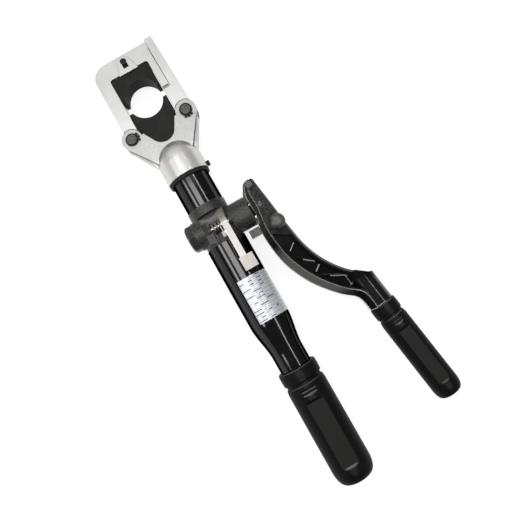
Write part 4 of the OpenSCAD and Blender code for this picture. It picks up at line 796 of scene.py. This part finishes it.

# Compression springs, wound inside the boxes of their solids
pressSprings = {
    "ram_spring": {"name": "ramSpring", "axis": 1, "wire": 1.7, "turns": 7,
                   "joint": "ram_slide", "stroke": 14.5, "foot": "high"},
    "relief_spring": {"name": "reliefSpring", "axis": 0, "wire": 0.8, "turns": 6,
                      "joint": "relief_slide", "stroke": 1.5, "foot": "low"},
    "delivery_spring": {"name": "deliverySpring", "axis": 1, "wire": 0.45, "turns": 3,
                        "joint": "delivery_slide", "stroke": 0.8, "foot": "high"},
    "release_return": {"name": "releaseReturn", "axis": 2, "wire": 0.45, "turns": 6,
                       "joint": "release_press", "stroke": 0.77, "foot": "low"}}
perTurn = 20  # straight stretches in one turn of wire
for node, k in pressSprings.items():
    axis, wireMm, turns = k["axis"], k["wire"], k["turns"]
    low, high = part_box(node)
    middle, size = (low + high) / 2, high - low
    lateral = [i for i in range(3) if i != axis]
    radius = max(size[i] for i in lateral) / 2 - wireMm * mm
    path = []
    for i in range(turns * perTurn + 1):
        s = i / (turns * perTurn)
        p = middle.copy()
        p[axis] = low[axis] + wireMm * mm + (size[axis] - 2 * wireMm * mm) * s
        p[lateral[0]] += radius * cos(2 * pi * turns * s)
        p[lateral[1]] += radius * sin(2 * pi * turns * s)
        path.append(p)
    spring = wireAlong(k["name"], path, wireMm * mm, node)
    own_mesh(spring)
print("springs wound")

# Studio: pale floor, panel and box overhead, strips for the long lights on the barrel, two low cards
studio = {"panel": {"at": (0.02, 0.46, 0.85), "aim": (0.02, 0.12, 0), "size": (0.95, 0.62), "power": 1.25},
          "overBox": {"at": (-0.10, -0.08, 0.80), "aim": (0, -0.08, 0), "size": (0.40, 0.42), "power": 2.5},
          "leftStrip": {"at": (-0.62, -0.12, 0.76), "aim": (0, -0.12, 0), "size": (0.20, 0.62), "power": 2.0},
          "rightStrip": {"at": (0.47, -0.36, 0.80), "aim": (0, -0.36, 0), "size": (0.06, 1.16), "power": 2.1},
          "leftCard": {"at": (-0.9, -0.15, 0.16), "aim": (0, -0.15, 0), "size": (0.45, 1.1), "power": 0.9},
          "topCard": {"at": (0.0, 0.85, 0.35), "aim": (0, -0.05, 0), "size": (1.2, 0.4), "power": 1.8}}
sweep = {"half": 4, "gap": 0.1,  # m from its middle, and mm below the tool
         "glow": 0.8, "mirrored": 0.14, "fill": 0.4}  # strengths of the floor and of the world round it

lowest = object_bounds()[0][2]
bm = bmesh.new()
bmesh.ops.create_grid(bm, x_segments=2, y_segments=2, size=sweep["half"])
floorMesh = bpy.data.meshes.new("studioFloor")
bm.to_mesh(floorMesh)
bm.free()
floor = bpy.data.objects.new("studioFloor", floorMesh)
floor.location = (0, 0, lowest - sweep["gap"] * mm)
scene.collection.objects.link(floor)
# Matte paper, pale grey to the lamps and white to the eye and in reflections
material, tree, shader = startMaterial("paperSweep", {
    "Base Color": linear("#9a9a9a"), "Roughness": 0.9, "Specular IOR Level": 0.0,
    "Emission Color": linear("#ffffff")})[:3]
path = addNode(tree, "LightPath")
seen = addNode(tree, "Math", {"operation": "MAXIMUM"},
               {0: path.outputs["Is Camera Ray"], 1: path.outputs["Is Glossy Ray"]})
seenToo = addNode(tree, "Math", {"operation": "MAXIMUM"},
                  {0: seen.outputs[0], 1: path.outputs["Is Transmission Ray"]})
glow = addNode(tree, "Math", {"operation": "MULTIPLY", 1: sweep["glow"]}, {0: seenToo.outputs[0]})
intoShader(tree, shader, {"Emission Strength": glow.outputs[0]})
floorMesh.materials.append(material)

for name, lampShape in studio.items():
    data = bpy.data.lights.new(name, "AREA")
    data.shape = "RECTANGLE"
    data.size, data.size_y = lampShape["size"]
    data.energy = lampShape["power"]
    lamp = bpy.data.objects.new(name, data)
    back = (Vector(lampShape["at"]) - Vector(lampShape["aim"])).normalized()
    along = (Vector((0, 1, 0)) - back * back.y).normalized()  # long side runs with the tool
    turned = Matrix((along.cross(back), along, back)).transposed().to_4x4()
    lamp.matrix_world = Matrix.Translation(lampShape["at"]) @ turned
    lamp.visible_camera = False
    scene.collection.objects.link(lamp)

world = bpy.data.worlds.new("studioWorld")
world.use_nodes = True
scene.world = world
tree = world.node_tree
back = tree.nodes["Background"]
path = addNode(tree, "LightPath")
seen = addNode(tree, "Math", {"operation": "MAXIMUM"},
               {0: path.outputs["Is Camera Ray"], 1: path.outputs["Is Transmission Ray"]})
glossy = addNode(tree, "Math", {"operation": "MULTIPLY", 1: sweep["mirrored"]},
                 {0: path.outputs["Is Glossy Ray"]})
shown = addNode(tree, "Math", {"operation": "MAXIMUM"}, {0: seen.outputs[0], 1: glossy.outputs[0]})
soft = addNode(tree, "Math", {"operation": "MULTIPLY", 1: sweep["fill"]},
               {0: path.outputs["Is Diffuse Ray"]})
level = addNode(tree, "Math", {"operation": "MAXIMUM"}, {0: shown.outputs[0], 1: soft.outputs[0]})
back.inputs["Color"].default_value = linear("#ffffff")
intoShader(tree, back, {"Strength": level.outputs[0]})
scene.view_settings.view_transform = "Standard"
print("studio lit")
